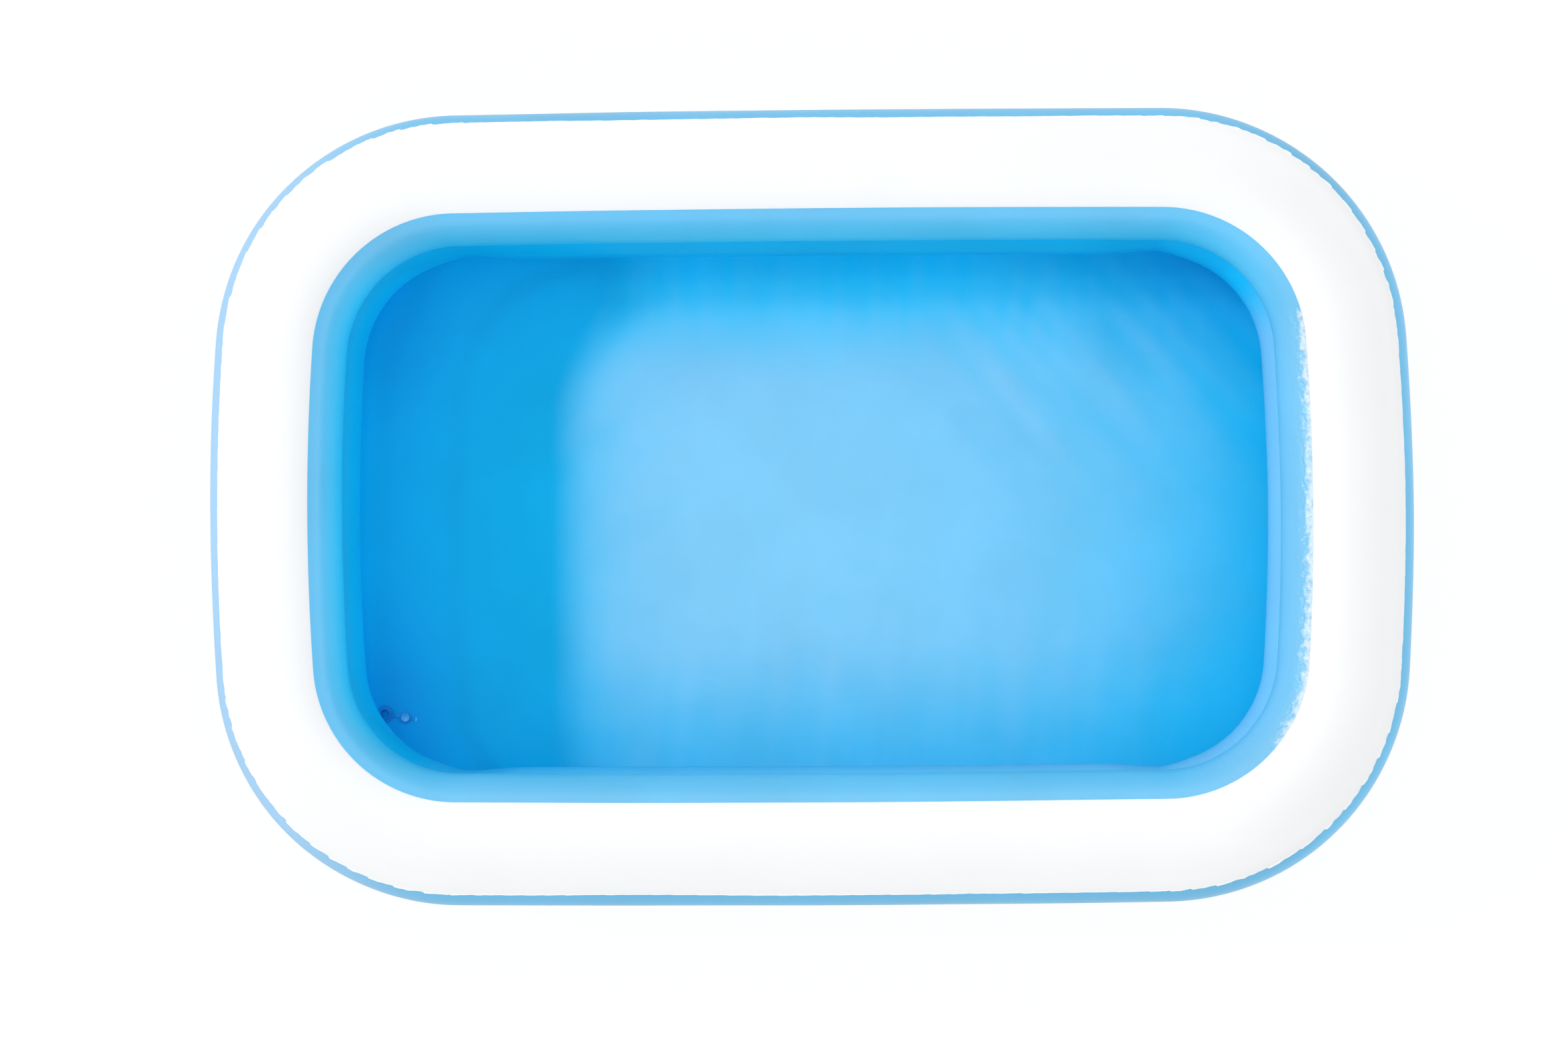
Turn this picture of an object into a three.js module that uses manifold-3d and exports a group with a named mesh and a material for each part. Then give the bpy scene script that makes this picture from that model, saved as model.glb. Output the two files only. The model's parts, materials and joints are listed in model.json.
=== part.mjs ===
// Inflatable family pool: two stacked air rings round a rectangular basin, made of thin welded sheets,
// with a drain in the floor and an air valve in the side of each ring.
// Millimetres, +Z up. The origin is on the ground under the middle of the pool and +X runs along its length.

import * as THREE from "three";
import { mergeVertices } from "three/addons/utils/BufferGeometryUtils.js";
import Module from "manifold-3d";

const wasm = await Module();
wasm.setup();

// Driving dimensions: the pool
const overallLength = 2620;
const overallWidth = 1740;
const overallHeight = 510;
const ringCornerRadius = 389;
const longSideBow = 4;
const shortSideBow = 11;

// Driving dimensions: the section of the rings
const upperTubeRadius = 142;
const dividerHalfWidth = 82;
const groundHalfWidth = 19;
const topPanelWidth = 225;
const topPanelShift = 24;

// Driving dimensions: the sheets and their welds
const sheetGauge = 0.3;
const weldGap = 0.3;
const seamWidth = 8;

// Driving dimensions: the drain, placed from the rings' centre line at the left end and the front side
const drainFromEnd = 192;
const drainFromSide = 272;
const drainTurn = THREE.MathUtils.degToRad(-10.6);
const plugReach = 46.8;
const drainFlangeRadius = 19.5;
const drainFlangeThickness = 1.2;
const drainBoreRadius = 9.7;
const drainBossWall = 2.6;
const drainBossHeight = 5;
const plugClearance = 0.3;
const plugDiscRadius = 13.3;
const plugDiscThickness = 1.5;
const plugPinLength = 4.8;
const plugPinTaper = 0.5;
const plugPinWall = 1.4;
const strapWidth = 6;
const strapThickness = 1;
const strapRoot = 2;
const pullTabReach = 27.5;
const pullTabLength = 6;
const pullTabWidth = 9.4;
const pullTabNeckWidth = 4;
const pullTabThickness = 1;

// Driving dimensions: the air valves
const valveFlangeRadius = 15;
const valveFlangeThickness = 1.2;
const valveSleeveBore = 7;
const valveSleeveWall = 1.2;
const valveSleeveDepth = 16;
const valveClearance = 0.3;
const stemBore = 3.6;
const stemRimRadius = 8.5;
const stemRimThickness = 1.2;
const stemInnerLength = 15;
const flapRadius = 4.8;
const flapThickness = 0.6;
const flapHingeReach = 5.4;
const flapLugWidth = 3;
const capRadius = 8;
const capThickness = 1.2;
const capPlugLength = 4;
const capPlugRadius = 3.3;
const capPlugTaper = 0.7;
const capHingeReach = 10.5;
const capStrapWidth = 4;
const capTabReach = 12;

// Steps of the facets
const cornerSteps = 8;
const longSideSteps = 6;
const shortSideSteps = 4;
const lowerWallBelowSteps = 5;
const lowerWallAboveSteps = 4;
const upperWallBelowSteps = 3;
const upperOuterWallAboveSteps = 2;
const upperInnerWallAboveSteps = 3;
const topPanelOuterSteps = 3;
const topPanelInnerSteps = 2;
const roundSteps = 32;
const smallRoundSteps = 24;

// Overrun of the cutters past the faces that they cut
const cutOverrun = 1;

// Heights and radii that follow from the driving dimensions.
// sheetPitch is the step from the middle of one sheet to the middle of the next at a weld.
const sheetPitch = sheetGauge + weldGap;
const upperWallRadius = upperTubeRadius - sheetGauge / 2;
const topPanelRadius = upperWallRadius + sheetPitch;
const upperCentreHeight = overallHeight - topPanelRadius - sheetGauge / 2;
const upperFlangeHeight = upperCentreHeight - Math.sqrt(upperWallRadius ** 2 - dividerHalfWidth ** 2);
const dividerHeight = upperFlangeHeight - sheetPitch;
const lowerFlangeHeight = dividerHeight - sheetPitch;
const lowerFootHeight = sheetPitch + sheetGauge / 2;

// The lower ring's free walls leave the ground level and meet the divider: a circle through both.
const lowerRise = lowerFlangeHeight - lowerFootHeight;
const lowerLean = dividerHalfWidth - groundHalfWidth;
const lowerWallRadius = (lowerRise ** 2 + lowerLean ** 2) / (2 * lowerRise);
const lowerCentreHeight = lowerFootHeight + lowerWallRadius;
const lowerHalfWidth = groundHalfWidth + lowerWallRadius + sheetGauge / 2;

// The rings' centre line in plan: four corner arcs joined by slightly bowed sides.
const ringHalfLength = overallLength / 2 - lowerHalfWidth;
const ringHalfWidth = overallWidth / 2 - lowerHalfWidth;
const cornerX = ringHalfLength - shortSideBow - ringCornerRadius;
const cornerY = ringHalfWidth - longSideBow - ringCornerRadius;

// Radius of the side arc that touches both corner arcs of a side.
function sideRadius(alongSide, bow) {
  const depth = ringCornerRadius + bow;
  return (alongSide ** 2 + depth ** 2 - ringCornerRadius ** 2) / (2 * bow);
}

const longSideRadius = sideRadius(cornerX, longSideBow);
const shortSideRadius = sideRadius(cornerY, shortSideBow);
const longSideCentre = ringHalfWidth - longSideRadius;
const shortSideCentre = ringHalfLength - shortSideRadius;
const longSideHalfAngle = Math.asin(cornerX / (longSideRadius - ringCornerRadius));
const shortSideHalfAngle = Math.asin(cornerY / (shortSideRadius - ringCornerRadius));

// The eight arcs of the centre line, anticlockwise from the middle of the right end.
function planArcs() {
  const arcs = [];
  for (const half of [0, 1]) {
    const turn = half * Math.PI;
    const side = half === 0 ? 1 : -1;
    arcs.push(
      {
        centre: [side * shortSideCentre, 0],
        radius: shortSideRadius,
        start: turn - shortSideHalfAngle,
        end: turn + shortSideHalfAngle,
        steps: shortSideSteps,
      },
      {
        centre: [side * cornerX, side * cornerY],
        radius: ringCornerRadius,
        start: turn + shortSideHalfAngle,
        end: turn + Math.PI / 2 - longSideHalfAngle,
        steps: cornerSteps,
      },
      {
        centre: [0, side * longSideCentre],
        radius: longSideRadius,
        start: turn + Math.PI / 2 - longSideHalfAngle,
        end: turn + Math.PI / 2 + longSideHalfAngle,
        steps: longSideSteps,
      },
      {
        centre: [-side * cornerX, side * cornerY],
        radius: ringCornerRadius,
        start: turn + Math.PI / 2 + longSideHalfAngle,
        end: turn + Math.PI - shortSideHalfAngle,
        steps: cornerSteps,
      },
    );
  }
  return arcs;
}

// Stations along the centre line, each a point and the outward direction there.
function planStations() {
  const stations = [];
  for (const arc of planArcs()) {
    for (let step = 0; step < arc.steps; step += 1) {
      const angle = arc.start + ((arc.end - arc.start) * step) / arc.steps;
      const outward = new THREE.Vector2(Math.cos(angle), Math.sin(angle));
      const point = new THREE.Vector2(...arc.centre).addScaledVector(outward, arc.radius);
      stations.push({ point, outward });
    }
  }
  return stations;
}

const stations = planStations();

// A point of the section, given by its distance out from the centre line and its height, at a station.
function atStation(station, sectionPoint) {
  const plan = station.point.clone().addScaledVector(station.outward, sectionPoint.x);
  return new THREE.Vector3(plan.x, plan.y, sectionPoint.y);
}

// Points along an arc of the section, both ends included.
function sectionArc(centreOut, centreHeight, radius, start, end, steps) {
  const points = [];
  for (let step = 0; step <= steps; step += 1) {
    const angle = start + ((end - start) * step) / steps;
    points.push(new THREE.Vector2(centreOut + radius * Math.cos(angle), centreHeight + radius * Math.sin(angle)));
  }
  return points;
}

// The closed outline of a sheet whose middle line is given, with mitred bends.
function sheetOutline(middleLine) {
  const left = [];
  const right = [];
  middleLine.forEach((point, index) => {
    const before = middleLine[Math.max(index - 1, 0)];
    const after = middleLine[Math.min(index + 1, middleLine.length - 1)];
    const arriving = (index === 0 ? after.clone().sub(point) : point.clone().sub(before)).normalize();
    const leaving = (after === point ? arriving.clone() : after.clone().sub(point)).normalize();
    const mitre = new THREE.Vector2(-arriving.y - leaving.y, arriving.x + leaving.x).normalize();
    const reach = sheetGauge / 2 / (mitre.x * -leaving.y + mitre.y * leaving.x);
    left.push(point.clone().addScaledVector(mitre, reach));
    right.push(point.clone().addScaledVector(mitre, -reach));
  });
  const outline = [...right, ...left.reverse()];
  return THREE.ShapeUtils.isClockWise(outline) ? outline.reverse() : outline;
}

// A closed section carried round the whole centre line.
function ringSheet(middleLine) {
  const outline = sheetOutline(middleLine);
  const positions = [];
  const triangles = [];
  for (const station of stations) {
    for (const corner of outline) {
      positions.push(...atStation(station, corner).toArray());
    }
  }
  for (let row = 0; row < stations.length; row += 1) {
    const nextRow = (row + 1) % stations.length;
    for (let column = 0; column < outline.length; column += 1) {
      const nextColumn = (column + 1) % outline.length;
      const here = row * outline.length + column;
      const above = row * outline.length + nextColumn;
      const ahead = nextRow * outline.length + column;
      const aheadAbove = nextRow * outline.length + nextColumn;
      triangles.push(here, ahead, aheadAbove, here, aheadAbove, above);
    }
  }
  const geometry = new THREE.BufferGeometry();
  geometry.setAttribute("position", new THREE.Float32BufferAttribute(positions, 3));
  geometry.setIndex(triangles);
  return geometry;
}

// Joins and cuts of closed geometries.
function toSolid(geometry) {
  const bare = geometry.clone();
  bare.deleteAttribute("normal");
  bare.deleteAttribute("uv");
  const merged = mergeVertices(bare);
  return new wasm.Manifold(
    new wasm.Mesh({
      numProp: 3,
      vertProperties: new Float32Array(merged.attributes.position.array),
      triVerts: new Uint32Array(merged.index.array),
    }),
  );
}

function toGeometry(solid) {
  const mesh = solid.getMesh();
  const geometry = new THREE.BufferGeometry();
  geometry.setAttribute("position", new THREE.BufferAttribute(mesh.vertProperties, 3));
  geometry.setIndex(new THREE.BufferAttribute(mesh.triVerts, 1));
  return geometry;
}

function joined(...geometries) {
  return toGeometry(geometries.map(toSolid).reduce((all, next) => all.add(next)));
}

function cut(geometry, ...cutters) {
  return toGeometry(cutters.map(toSolid).reduce((rest, cutter) => rest.subtract(cutter), toSolid(geometry)));
}

// Small forms along a local Z axis.
function turned(profile, steps) {
  const points = profile.map(([radius, height]) => new THREE.Vector2(radius, height));
  return new THREE.LatheGeometry([...points, points[0]], steps).rotateX(Math.PI / 2);
}

function rod(radius, low, high, steps) {
  const cylinder = new THREE.CylinderGeometry(radius, radius, high - low, steps);
  return cylinder.rotateX(Math.PI / 2).translate(0, 0, (low + high) / 2);
}

// A band of constant width across Y, from its outline in X and Z.
function band(outline, width) {
  const shape = new THREE.Shape(outline.map(([along, height]) => new THREE.Vector2(along, height)));
  const solid = new THREE.ExtrudeGeometry(shape, { depth: width, bevelEnabled: false });
  return solid.translate(0, 0, -width / 2).rotateX(Math.PI / 2);
}

function block(lowX, highX, width, lowZ, highZ) {
  const outline = [
    [lowX, lowZ],
    [highX, lowZ],
    [highX, highZ],
    [lowX, highZ],
  ];
  return band(outline, width);
}

// How far the white panel reaches round the upper tube to either side of its top, and the lap on the walls
const topPanelOuterAngle = (topPanelWidth / 2 + topPanelShift) / topPanelRadius;
const topPanelInnerAngle = (topPanelWidth / 2 - topPanelShift) / topPanelRadius;
const lapAngle = seamWidth / topPanelRadius;

// Middle lines of the ring sheets. side is 1 for the outer wall and -1 for the inner wall.
function onSide(side, points) {
  return points.map((point) => new THREE.Vector2(side * point.x, point.y));
}

function lowerWallLine(side) {
  const top = Math.atan2(lowerFlangeHeight - lowerCentreHeight, dividerHalfWidth - groundHalfWidth);
  const below = sectionArc(
    groundHalfWidth,
    lowerCentreHeight,
    lowerWallRadius,
    -Math.PI / 2,
    0,
    lowerWallBelowSteps,
  );
  const above = sectionArc(groundHalfWidth, lowerCentreHeight, lowerWallRadius, 0, top, lowerWallAboveSteps);
  return onSide(side, [
    new THREE.Vector2(groundHalfWidth - seamWidth, lowerFootHeight),
    ...below,
    ...above.slice(1),
    new THREE.Vector2(dividerHalfWidth + seamWidth, lowerFlangeHeight),
  ]);
}

function upperWallLine(side, panelAngle, stepsAbove) {
  const bottom = Math.atan2(upperFlangeHeight - upperCentreHeight, dividerHalfWidth);
  const seam = Math.PI / 2 - panelAngle;
  const below = sectionArc(0, upperCentreHeight, upperWallRadius, bottom, 0, upperWallBelowSteps);
  const above = sectionArc(0, upperCentreHeight, upperWallRadius, 0, seam, stepsAbove);
  const lap = sectionArc(0, upperCentreHeight, upperWallRadius, seam, seam + lapAngle, 1);
  return onSide(side, [
    new THREE.Vector2(dividerHalfWidth + seamWidth, upperFlangeHeight),
    ...below,
    ...above.slice(1),
    ...lap.slice(1),
  ]);
}

function topPanelLine() {
  const outer = Math.PI / 2 - topPanelOuterAngle;
  const inner = Math.PI / 2 + topPanelInnerAngle;
  const arc = (start, end, steps) => sectionArc(0, upperCentreHeight, topPanelRadius, start, end, steps);
  return [
    ...arc(outer, outer + lapAngle, 1),
    ...arc(outer + lapAngle, Math.PI / 2, topPanelOuterSteps).slice(1),
    ...arc(Math.PI / 2, inner - lapAngle, topPanelInnerSteps).slice(1),
    ...arc(inner - lapAngle, inner, 1).slice(1),
  ];
}

function dividerLine() {
  const reach = dividerHalfWidth + seamWidth;
  return [new THREE.Vector2(-reach, dividerHeight), new THREE.Vector2(reach, dividerHeight)];
}

// Materials
function finish(color, roughness) {
  return new THREE.MeshStandardMaterial({ color, roughness, metalness: 0 });
}

const pool = new THREE.Group();

function addPiece(parent, name, geometry, material) {
  const piece = new THREE.Mesh(geometry, material);
  piece.name = name;
  parent.add(piece);
  return piece;
}

// A local frame on the outside of a wall, in the middle of one of its facets: Z points out of the wall
// and X points down along it.
function facetFrame(middleLine, sectionIndex, stationIndex) {
  const corners = [];
  for (const station of [stations[stationIndex], stations[stationIndex + 1]]) {
    corners.push(atStation(station, middleLine[sectionIndex]), atStation(station, middleLine[sectionIndex + 1]));
  }
  const [lowHere, highHere, lowAhead, highAhead] = corners;
  const middle = corners.reduce((sum, corner) => sum.add(corner), new THREE.Vector3()).divideScalar(corners.length);
  const upward = highHere.clone().add(highAhead).sub(lowHere).sub(lowAhead).normalize();
  const along = lowAhead.clone().sub(lowHere).normalize();
  const outward = along.clone().cross(upward).normalize();
  const downward = upward.clone().negate();
  const across = outward.clone().cross(downward);
  const frame = new THREE.Group();
  frame.position.copy(middle.addScaledVector(outward, sheetGauge / 2));
  frame.quaternion.setFromRotationMatrix(new THREE.Matrix4().makeBasis(downward, across, outward));
  return frame;
}

// Heights of the valve's pieces along its axis, counted from the outside of the wall.
const valveFlangeFoot = weldGap;
const valveFlangeTop = valveFlangeFoot + valveFlangeThickness;
const stemRadius = valveSleeveBore - valveClearance;
const stemRimFoot = valveFlangeTop + valveClearance;
const stemRimTop = stemRimFoot + stemRimThickness;
const capFoot = stemRimTop + valveClearance;
const capTop = capFoot + capThickness;
const capHingeHeight = (stemRimTop + capFoot) / 2;
const flapTop = -stemInnerLength - valveClearance;

function valveBase() {
  return turned(
    [
      [valveSleeveBore, -valveSleeveDepth],
      [valveSleeveBore + valveSleeveWall, -valveSleeveDepth],
      [valveSleeveBore + valveSleeveWall, valveFlangeFoot],
      [valveFlangeRadius, valveFlangeFoot],
      [valveFlangeRadius, (valveFlangeFoot + valveFlangeTop) / 2],
      [valveFlangeRadius - valveFlangeThickness / 2, valveFlangeTop],
      [valveSleeveBore, valveFlangeTop],
    ],
    roundSteps,
  );
}

function valveStem() {
  const tube = turned(
    [
      [stemBore, -stemInnerLength],
      [stemRadius, -stemInnerLength],
      [stemRadius, stemRimFoot],
      [stemRimRadius, stemRimFoot],
      [stemRimRadius, stemRimTop],
      [stemBore, stemRimTop],
    ],
    smallRoundSteps,
  );
  const ear = block(stemRadius, capHingeReach, capStrapWidth, stemRimFoot, stemRimTop);
  return joined(tube, cut(ear, rod(stemRadius, stemRimFoot - cutOverrun, stemRimTop + cutOverrun, smallRoundSteps)));
}

function valveFlap() {
  const disc = rod(flapRadius, flapTop - flapThickness, flapTop, smallRoundSteps);
  const lug = block(0, flapHingeReach, flapLugWidth, flapTop - flapThickness, flapTop);
  return joined(disc, lug);
}

function valveCap() {
  const top = rod(capRadius, capFoot, capTop, smallRoundSteps);
  const plug = turned(
    [
      [0, capFoot - capPlugLength],
      [capPlugRadius - capPlugTaper, capFoot - capPlugLength],
      [capPlugRadius, capFoot + capThickness / 2],
      [0, capFoot + capThickness / 2],
    ],
    smallRoundSteps,
  );
  const strap = block(0, capHingeReach, capStrapWidth, capFoot, capTop);
  const tab = block(-capTabReach, 0, capStrapWidth, capFoot, capTop);
  return joined(top, plug, strap, tab);
}

function addValve(ring, middleLine, sectionIndex, stationIndex, bodyMaterial, capMaterial) {
  const frame = facetFrame(middleLine, sectionIndex, stationIndex);
  pool.add(frame);
  addPiece(frame, `${ring}_valve_base`, valveBase(), bodyMaterial);
  addPiece(frame, `${ring}_valve_stem`, valveStem(), bodyMaterial);
  addPiece(frame, `${ring}_valve_flap`, valveFlap(), bodyMaterial);
  addPiece(frame, `${ring}_valve_cap`, valveCap(), capMaterial);
  frame.updateMatrix();
  const hole = rod(
    valveSleeveBore + valveSleeveWall + valveClearance,
    -sheetGauge - cutOverrun,
    cutOverrun,
    roundSteps,
  );
  return hole.applyMatrix4(frame.matrix);
}

// Drain, built about its own axis with its foot on the floor sheet and its strap along local X
const drainX = -ringHalfLength + drainFromEnd;
const drainY = -ringHalfWidth + drainFromSide;
const drainFlangeTop = weldGap + drainFlangeThickness;
const drainBossTop = weldGap + drainBossHeight;
const plugDiscTop = plugClearance + plugDiscThickness;
const plugHingeReach = plugReach / 2;
const plugHingeHeight = (drainBossTop + plugClearance + plugDiscTop) / 2;
const strapTop = plugHingeHeight - plugClearance / 2;

function drainSocket() {
  const body = turned(
    [
      [drainBoreRadius, weldGap],
      [drainFlangeRadius, weldGap],
      [drainFlangeRadius, drainFlangeTop],
      [drainBoreRadius + drainBossWall, drainFlangeTop],
      [drainBoreRadius + drainBossWall, drainBossTop],
      [drainBoreRadius, drainBossTop],
    ],
    roundSteps,
  );
  const root = drainFlangeRadius - strapRoot;
  const end = plugHingeReach - plugClearance / 2;
  const strap = band(
    [
      [root, drainFlangeTop - strapThickness],
      [end, strapTop - strapThickness],
      [end, strapTop],
      [root, drainFlangeTop],
    ],
    strapWidth,
  );
  return joined(body, strap);
}

function drainPlug() {
  const pinRadius = drainBoreRadius - plugClearance;
  const pinTop = plugDiscTop + plugPinLength;
  const body = turned(
    [
      [0, plugClearance],
      [plugDiscRadius, plugClearance],
      [plugDiscRadius, plugDiscTop],
      [pinRadius, plugDiscTop],
      [pinRadius - plugPinTaper, pinTop],
      [pinRadius - plugPinTaper - plugPinWall, pinTop],
      [pinRadius - plugPinTaper - plugPinWall, plugDiscTop],
      [0, plugDiscTop],
    ],
    roundSteps,
  ).translate(plugReach, 0, 0);
  const start = plugHingeReach + plugClearance / 2;
  const root = plugReach - plugDiscRadius + strapRoot;
  const strap = band(
    [
      [start, strapTop - strapThickness],
      [root, plugDiscTop - strapThickness],
      [root, plugDiscTop],
      [start, strapTop],
    ],
    strapWidth,
  );
  const tabEnd = plugReach + pullTabReach;
  const tabTop = plugClearance + pullTabThickness;
  const neck = block(
    plugReach + plugDiscRadius - strapRoot,
    tabEnd - pullTabLength / 2,
    pullTabNeckWidth,
    plugClearance,
    tabTop,
  );
  const tab = block(tabEnd - pullTabLength, tabEnd, pullTabWidth, plugClearance, tabTop);
  return joined(body, strap, neck, tab);
}

function floorSheet() {
  const reach = groundHalfWidth + seamWidth;
  const outline = stations.map((station) => station.point.clone().addScaledVector(station.outward, reach));
  const sheet = new THREE.ExtrudeGeometry(new THREE.Shape(outline), { depth: sheetGauge, bevelEnabled: false });
  const hole = rod(drainBoreRadius, -cutOverrun, sheetGauge + cutOverrun, roundSteps).translate(drainX, drainY, 0);
  return cut(sheet, hole);
}

// Finishes
const floorVinyl = finish(0x3fb0ee, 0.3);
const lowerWallVinyl = finish(0x1aa4e8, 0.3);
const upperWallVinyl = finish(0x6cc3f2, 0.3);
const whiteVinyl = finish(0xf6f7f8, 0.35);
const drainPlastic = finish(0x0b5fb4, 0.4);
const plugPlastic = finish(0x2b86d0, 0.4);
const valvePlastic = finish(0xd8ecf6, 0.35);
const capPlastic = finish(0xf2f6f8, 0.35);

// Sheets
const lowerOuterLine = lowerWallLine(1);
const upperOuterLine = upperWallLine(1, topPanelOuterAngle, upperOuterWallAboveSteps);

// The valves sit on the front side near the right corner, below the rings' widest line.
const frontSideFirstStation = stations.length - cornerSteps - longSideSteps;
const valveStation = frontSideFirstStation + longSideSteps - 1;
const lowerValveSegment = lowerWallBelowSteps - 1;
const upperValveSegment = upperWallBelowSteps - 1;
const lowerValveHole = addValve(
  "lower",
  lowerOuterLine,
  lowerValveSegment,
  valveStation,
  valvePlastic,
  capPlastic,
);
const upperValveHole = addValve(
  "upper",
  upperOuterLine,
  upperValveSegment,
  valveStation,
  valvePlastic,
  capPlastic,
);

addPiece(pool, "floor_sheet", floorSheet(), floorVinyl);
addPiece(pool, "lower_outer_wall", cut(ringSheet(lowerOuterLine), lowerValveHole), lowerWallVinyl);
addPiece(pool, "lower_inner_wall", ringSheet(lowerWallLine(-1)), lowerWallVinyl);
addPiece(pool, "ring_divider", ringSheet(dividerLine()), lowerWallVinyl);
addPiece(pool, "upper_outer_wall", cut(ringSheet(upperOuterLine), upperValveHole), upperWallVinyl);
addPiece(
  pool,
  "upper_inner_wall",
  ringSheet(upperWallLine(-1, topPanelInnerAngle, upperInnerWallAboveSteps)),
  upperWallVinyl,
);
addPiece(pool, "top_panel", ringSheet(topPanelLine()), whiteVinyl);

const drain = new THREE.Group();
drain.position.set(drainX, drainY, sheetGauge);
drain.rotation.z = drainTurn;
pool.add(drain);
addPiece(drain, "drain_socket", drainSocket(), drainPlastic);
addPiece(drain, "drain_plug", drainPlug(), plugPlastic);

export default pool;
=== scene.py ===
import json
import math
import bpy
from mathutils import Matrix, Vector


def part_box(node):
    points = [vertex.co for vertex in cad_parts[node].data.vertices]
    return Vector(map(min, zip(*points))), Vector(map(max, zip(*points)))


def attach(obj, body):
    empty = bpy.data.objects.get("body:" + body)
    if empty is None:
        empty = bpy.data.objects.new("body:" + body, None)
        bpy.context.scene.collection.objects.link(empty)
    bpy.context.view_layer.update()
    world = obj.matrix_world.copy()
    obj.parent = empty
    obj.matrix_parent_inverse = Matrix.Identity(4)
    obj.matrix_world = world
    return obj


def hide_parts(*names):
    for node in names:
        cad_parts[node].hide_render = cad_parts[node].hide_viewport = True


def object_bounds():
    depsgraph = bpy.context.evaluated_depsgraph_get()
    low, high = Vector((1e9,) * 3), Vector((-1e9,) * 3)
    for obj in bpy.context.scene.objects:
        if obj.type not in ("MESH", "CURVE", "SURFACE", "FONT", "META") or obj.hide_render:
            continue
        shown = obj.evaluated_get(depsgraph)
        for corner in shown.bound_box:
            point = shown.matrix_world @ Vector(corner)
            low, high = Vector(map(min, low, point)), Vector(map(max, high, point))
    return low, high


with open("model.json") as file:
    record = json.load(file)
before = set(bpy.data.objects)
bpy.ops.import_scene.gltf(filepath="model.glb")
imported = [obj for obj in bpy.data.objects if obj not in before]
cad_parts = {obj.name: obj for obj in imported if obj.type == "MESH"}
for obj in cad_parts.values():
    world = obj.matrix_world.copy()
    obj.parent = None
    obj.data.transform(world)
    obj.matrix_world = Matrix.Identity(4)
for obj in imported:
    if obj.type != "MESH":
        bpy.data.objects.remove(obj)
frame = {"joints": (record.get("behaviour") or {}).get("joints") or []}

from types import SimpleNamespace

import bmesh
import bpy
from bpy.props import FloatProperty, FloatVectorProperty, PointerProperty
from bpy.types import Operator, Panel, PropertyGroup
from mathutils import Matrix, Vector, noise

bl_info = {
    "name": "Inflatable Family Pool",
    "version": (1, 0, 0),
    "blender": (4, 5, 0),
    "location": "View3D > Sidebar > Pool",
    "description": "Welded vinyl sheets, floor drain and air valves of a two-ring inflatable pool",
    "category": "Object",
}

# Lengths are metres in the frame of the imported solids: +Z up, the ground at height zero.
MM = 0.001
# Points this near are merged, and heights or radii below the second length count as none
MERGED, NONE = 1e-6, 1e-7
PACKED_LOW, PACKED_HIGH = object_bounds()
JOINTS = {joint["name"]: joint for joint in frame["joints"]}


def linear(code):
    """Linear red, green and blue of an sRGB hex value."""
    shares = [(code >> shift & 255) / 255 for shift in (16, 8, 0)]
    return tuple(s / 12.92 if s <= 0.04045 else ((s + 0.055) / 1.055) ** 2.4 for s in shares)


def size(name, description, default):
    return FloatProperty(name=name, description=description, default=default, unit="LENGTH", precision=5)


def level(name, description, default):
    return FloatProperty(name=name, description=description, default=default)


def colour(name, description, code):
    return FloatVectorProperty(
        name=name, description=description, default=linear(code), subtype="COLOR", min=0, max=1
    )


class PoolSizes(PropertyGroup):
    length: size("Length", "Outside length of the blown-up pool", PACKED_HIGH.x - PACKED_LOW.x)
    width: size("Width", "Outside width of the blown-up pool", PACKED_HIGH.y - PACKED_LOW.y)
    height: size("Height", "Height of the blown-up pool", PACKED_HIGH.z - PACKED_LOW.z)
    corner_radius: size("Corner radius", "Corner radius of the rings' centre line", 389 * MM)
    long_bow: size("Long side bow", "How far a long side bows out in its middle", 4 * MM)
    short_bow: size("Short side bow", "How far a short side bows out in its middle", 11 * MM)
    tube_radius: size("Tube radius", "Outside radius of the upper ring's tube", 142 * MM)
    divider_half: size("Divider half width", "From the centre line to the weld between the rings", 82 * MM)
    ground_half: size("Ground half width", "From the centre line to where a ring leaves the floor", 19 * MM)
    panel_width: size("Panel width", "Width of the white top panel along its curve", 225 * MM)
    panel_shift: size("Panel shift", "How far the white panel sits outward of the tube's top", 24 * MM)
    gauge: size("Sheet gauge", "Thickness of the vinyl sheet", 0.3 * MM)
    gap: size("Weld gap", "Room between two sheets at a weld", 0.3 * MM)
    seam: size("Seam width", "Width of a welded lap", 8 * MM)


class WrinkleSizes(PropertyGroup):
    weld_wave: size("Weld wave", "Height of the waves in the weld between the rings", 2.4 * MM)
    fold: size("Fold", "Height of the folds up the inner walls in the corners", 1.0 * MM)
    fine_fold: size("Fine fold", "Height of the small folds among them", 0.6 * MM)
    swell: size("Swell", "Slow unevenness of the blown-up tubes", 1.2 * MM)
    ragged_edge: size("Ragged edge", "How far the panel's outer edge steps on its weld", 5.5 * MM)
    edge_creep: size("Edge creep", "How far the panel's outer edge sits inward on its weld", 3.4 * MM)
    ragged_pitch: size("Ragged pitch", "Usual distance between two such steps", 52 * MM)
    lifted_edge: size("Lifted edge", "How far the panel's outer edge stands off its weld", 1.4 * MM)
    dent: size("Dent", "Depth of the dents where the corners meet the long sides", 8 * MM)
    floor_wave: size("Floor wave", "Height of the slow waves in the floor", 2.6 * MM)
    floor_crease: size("Floor crease", "Height of the slanting creases in the floor", 2.0 * MM)


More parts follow.
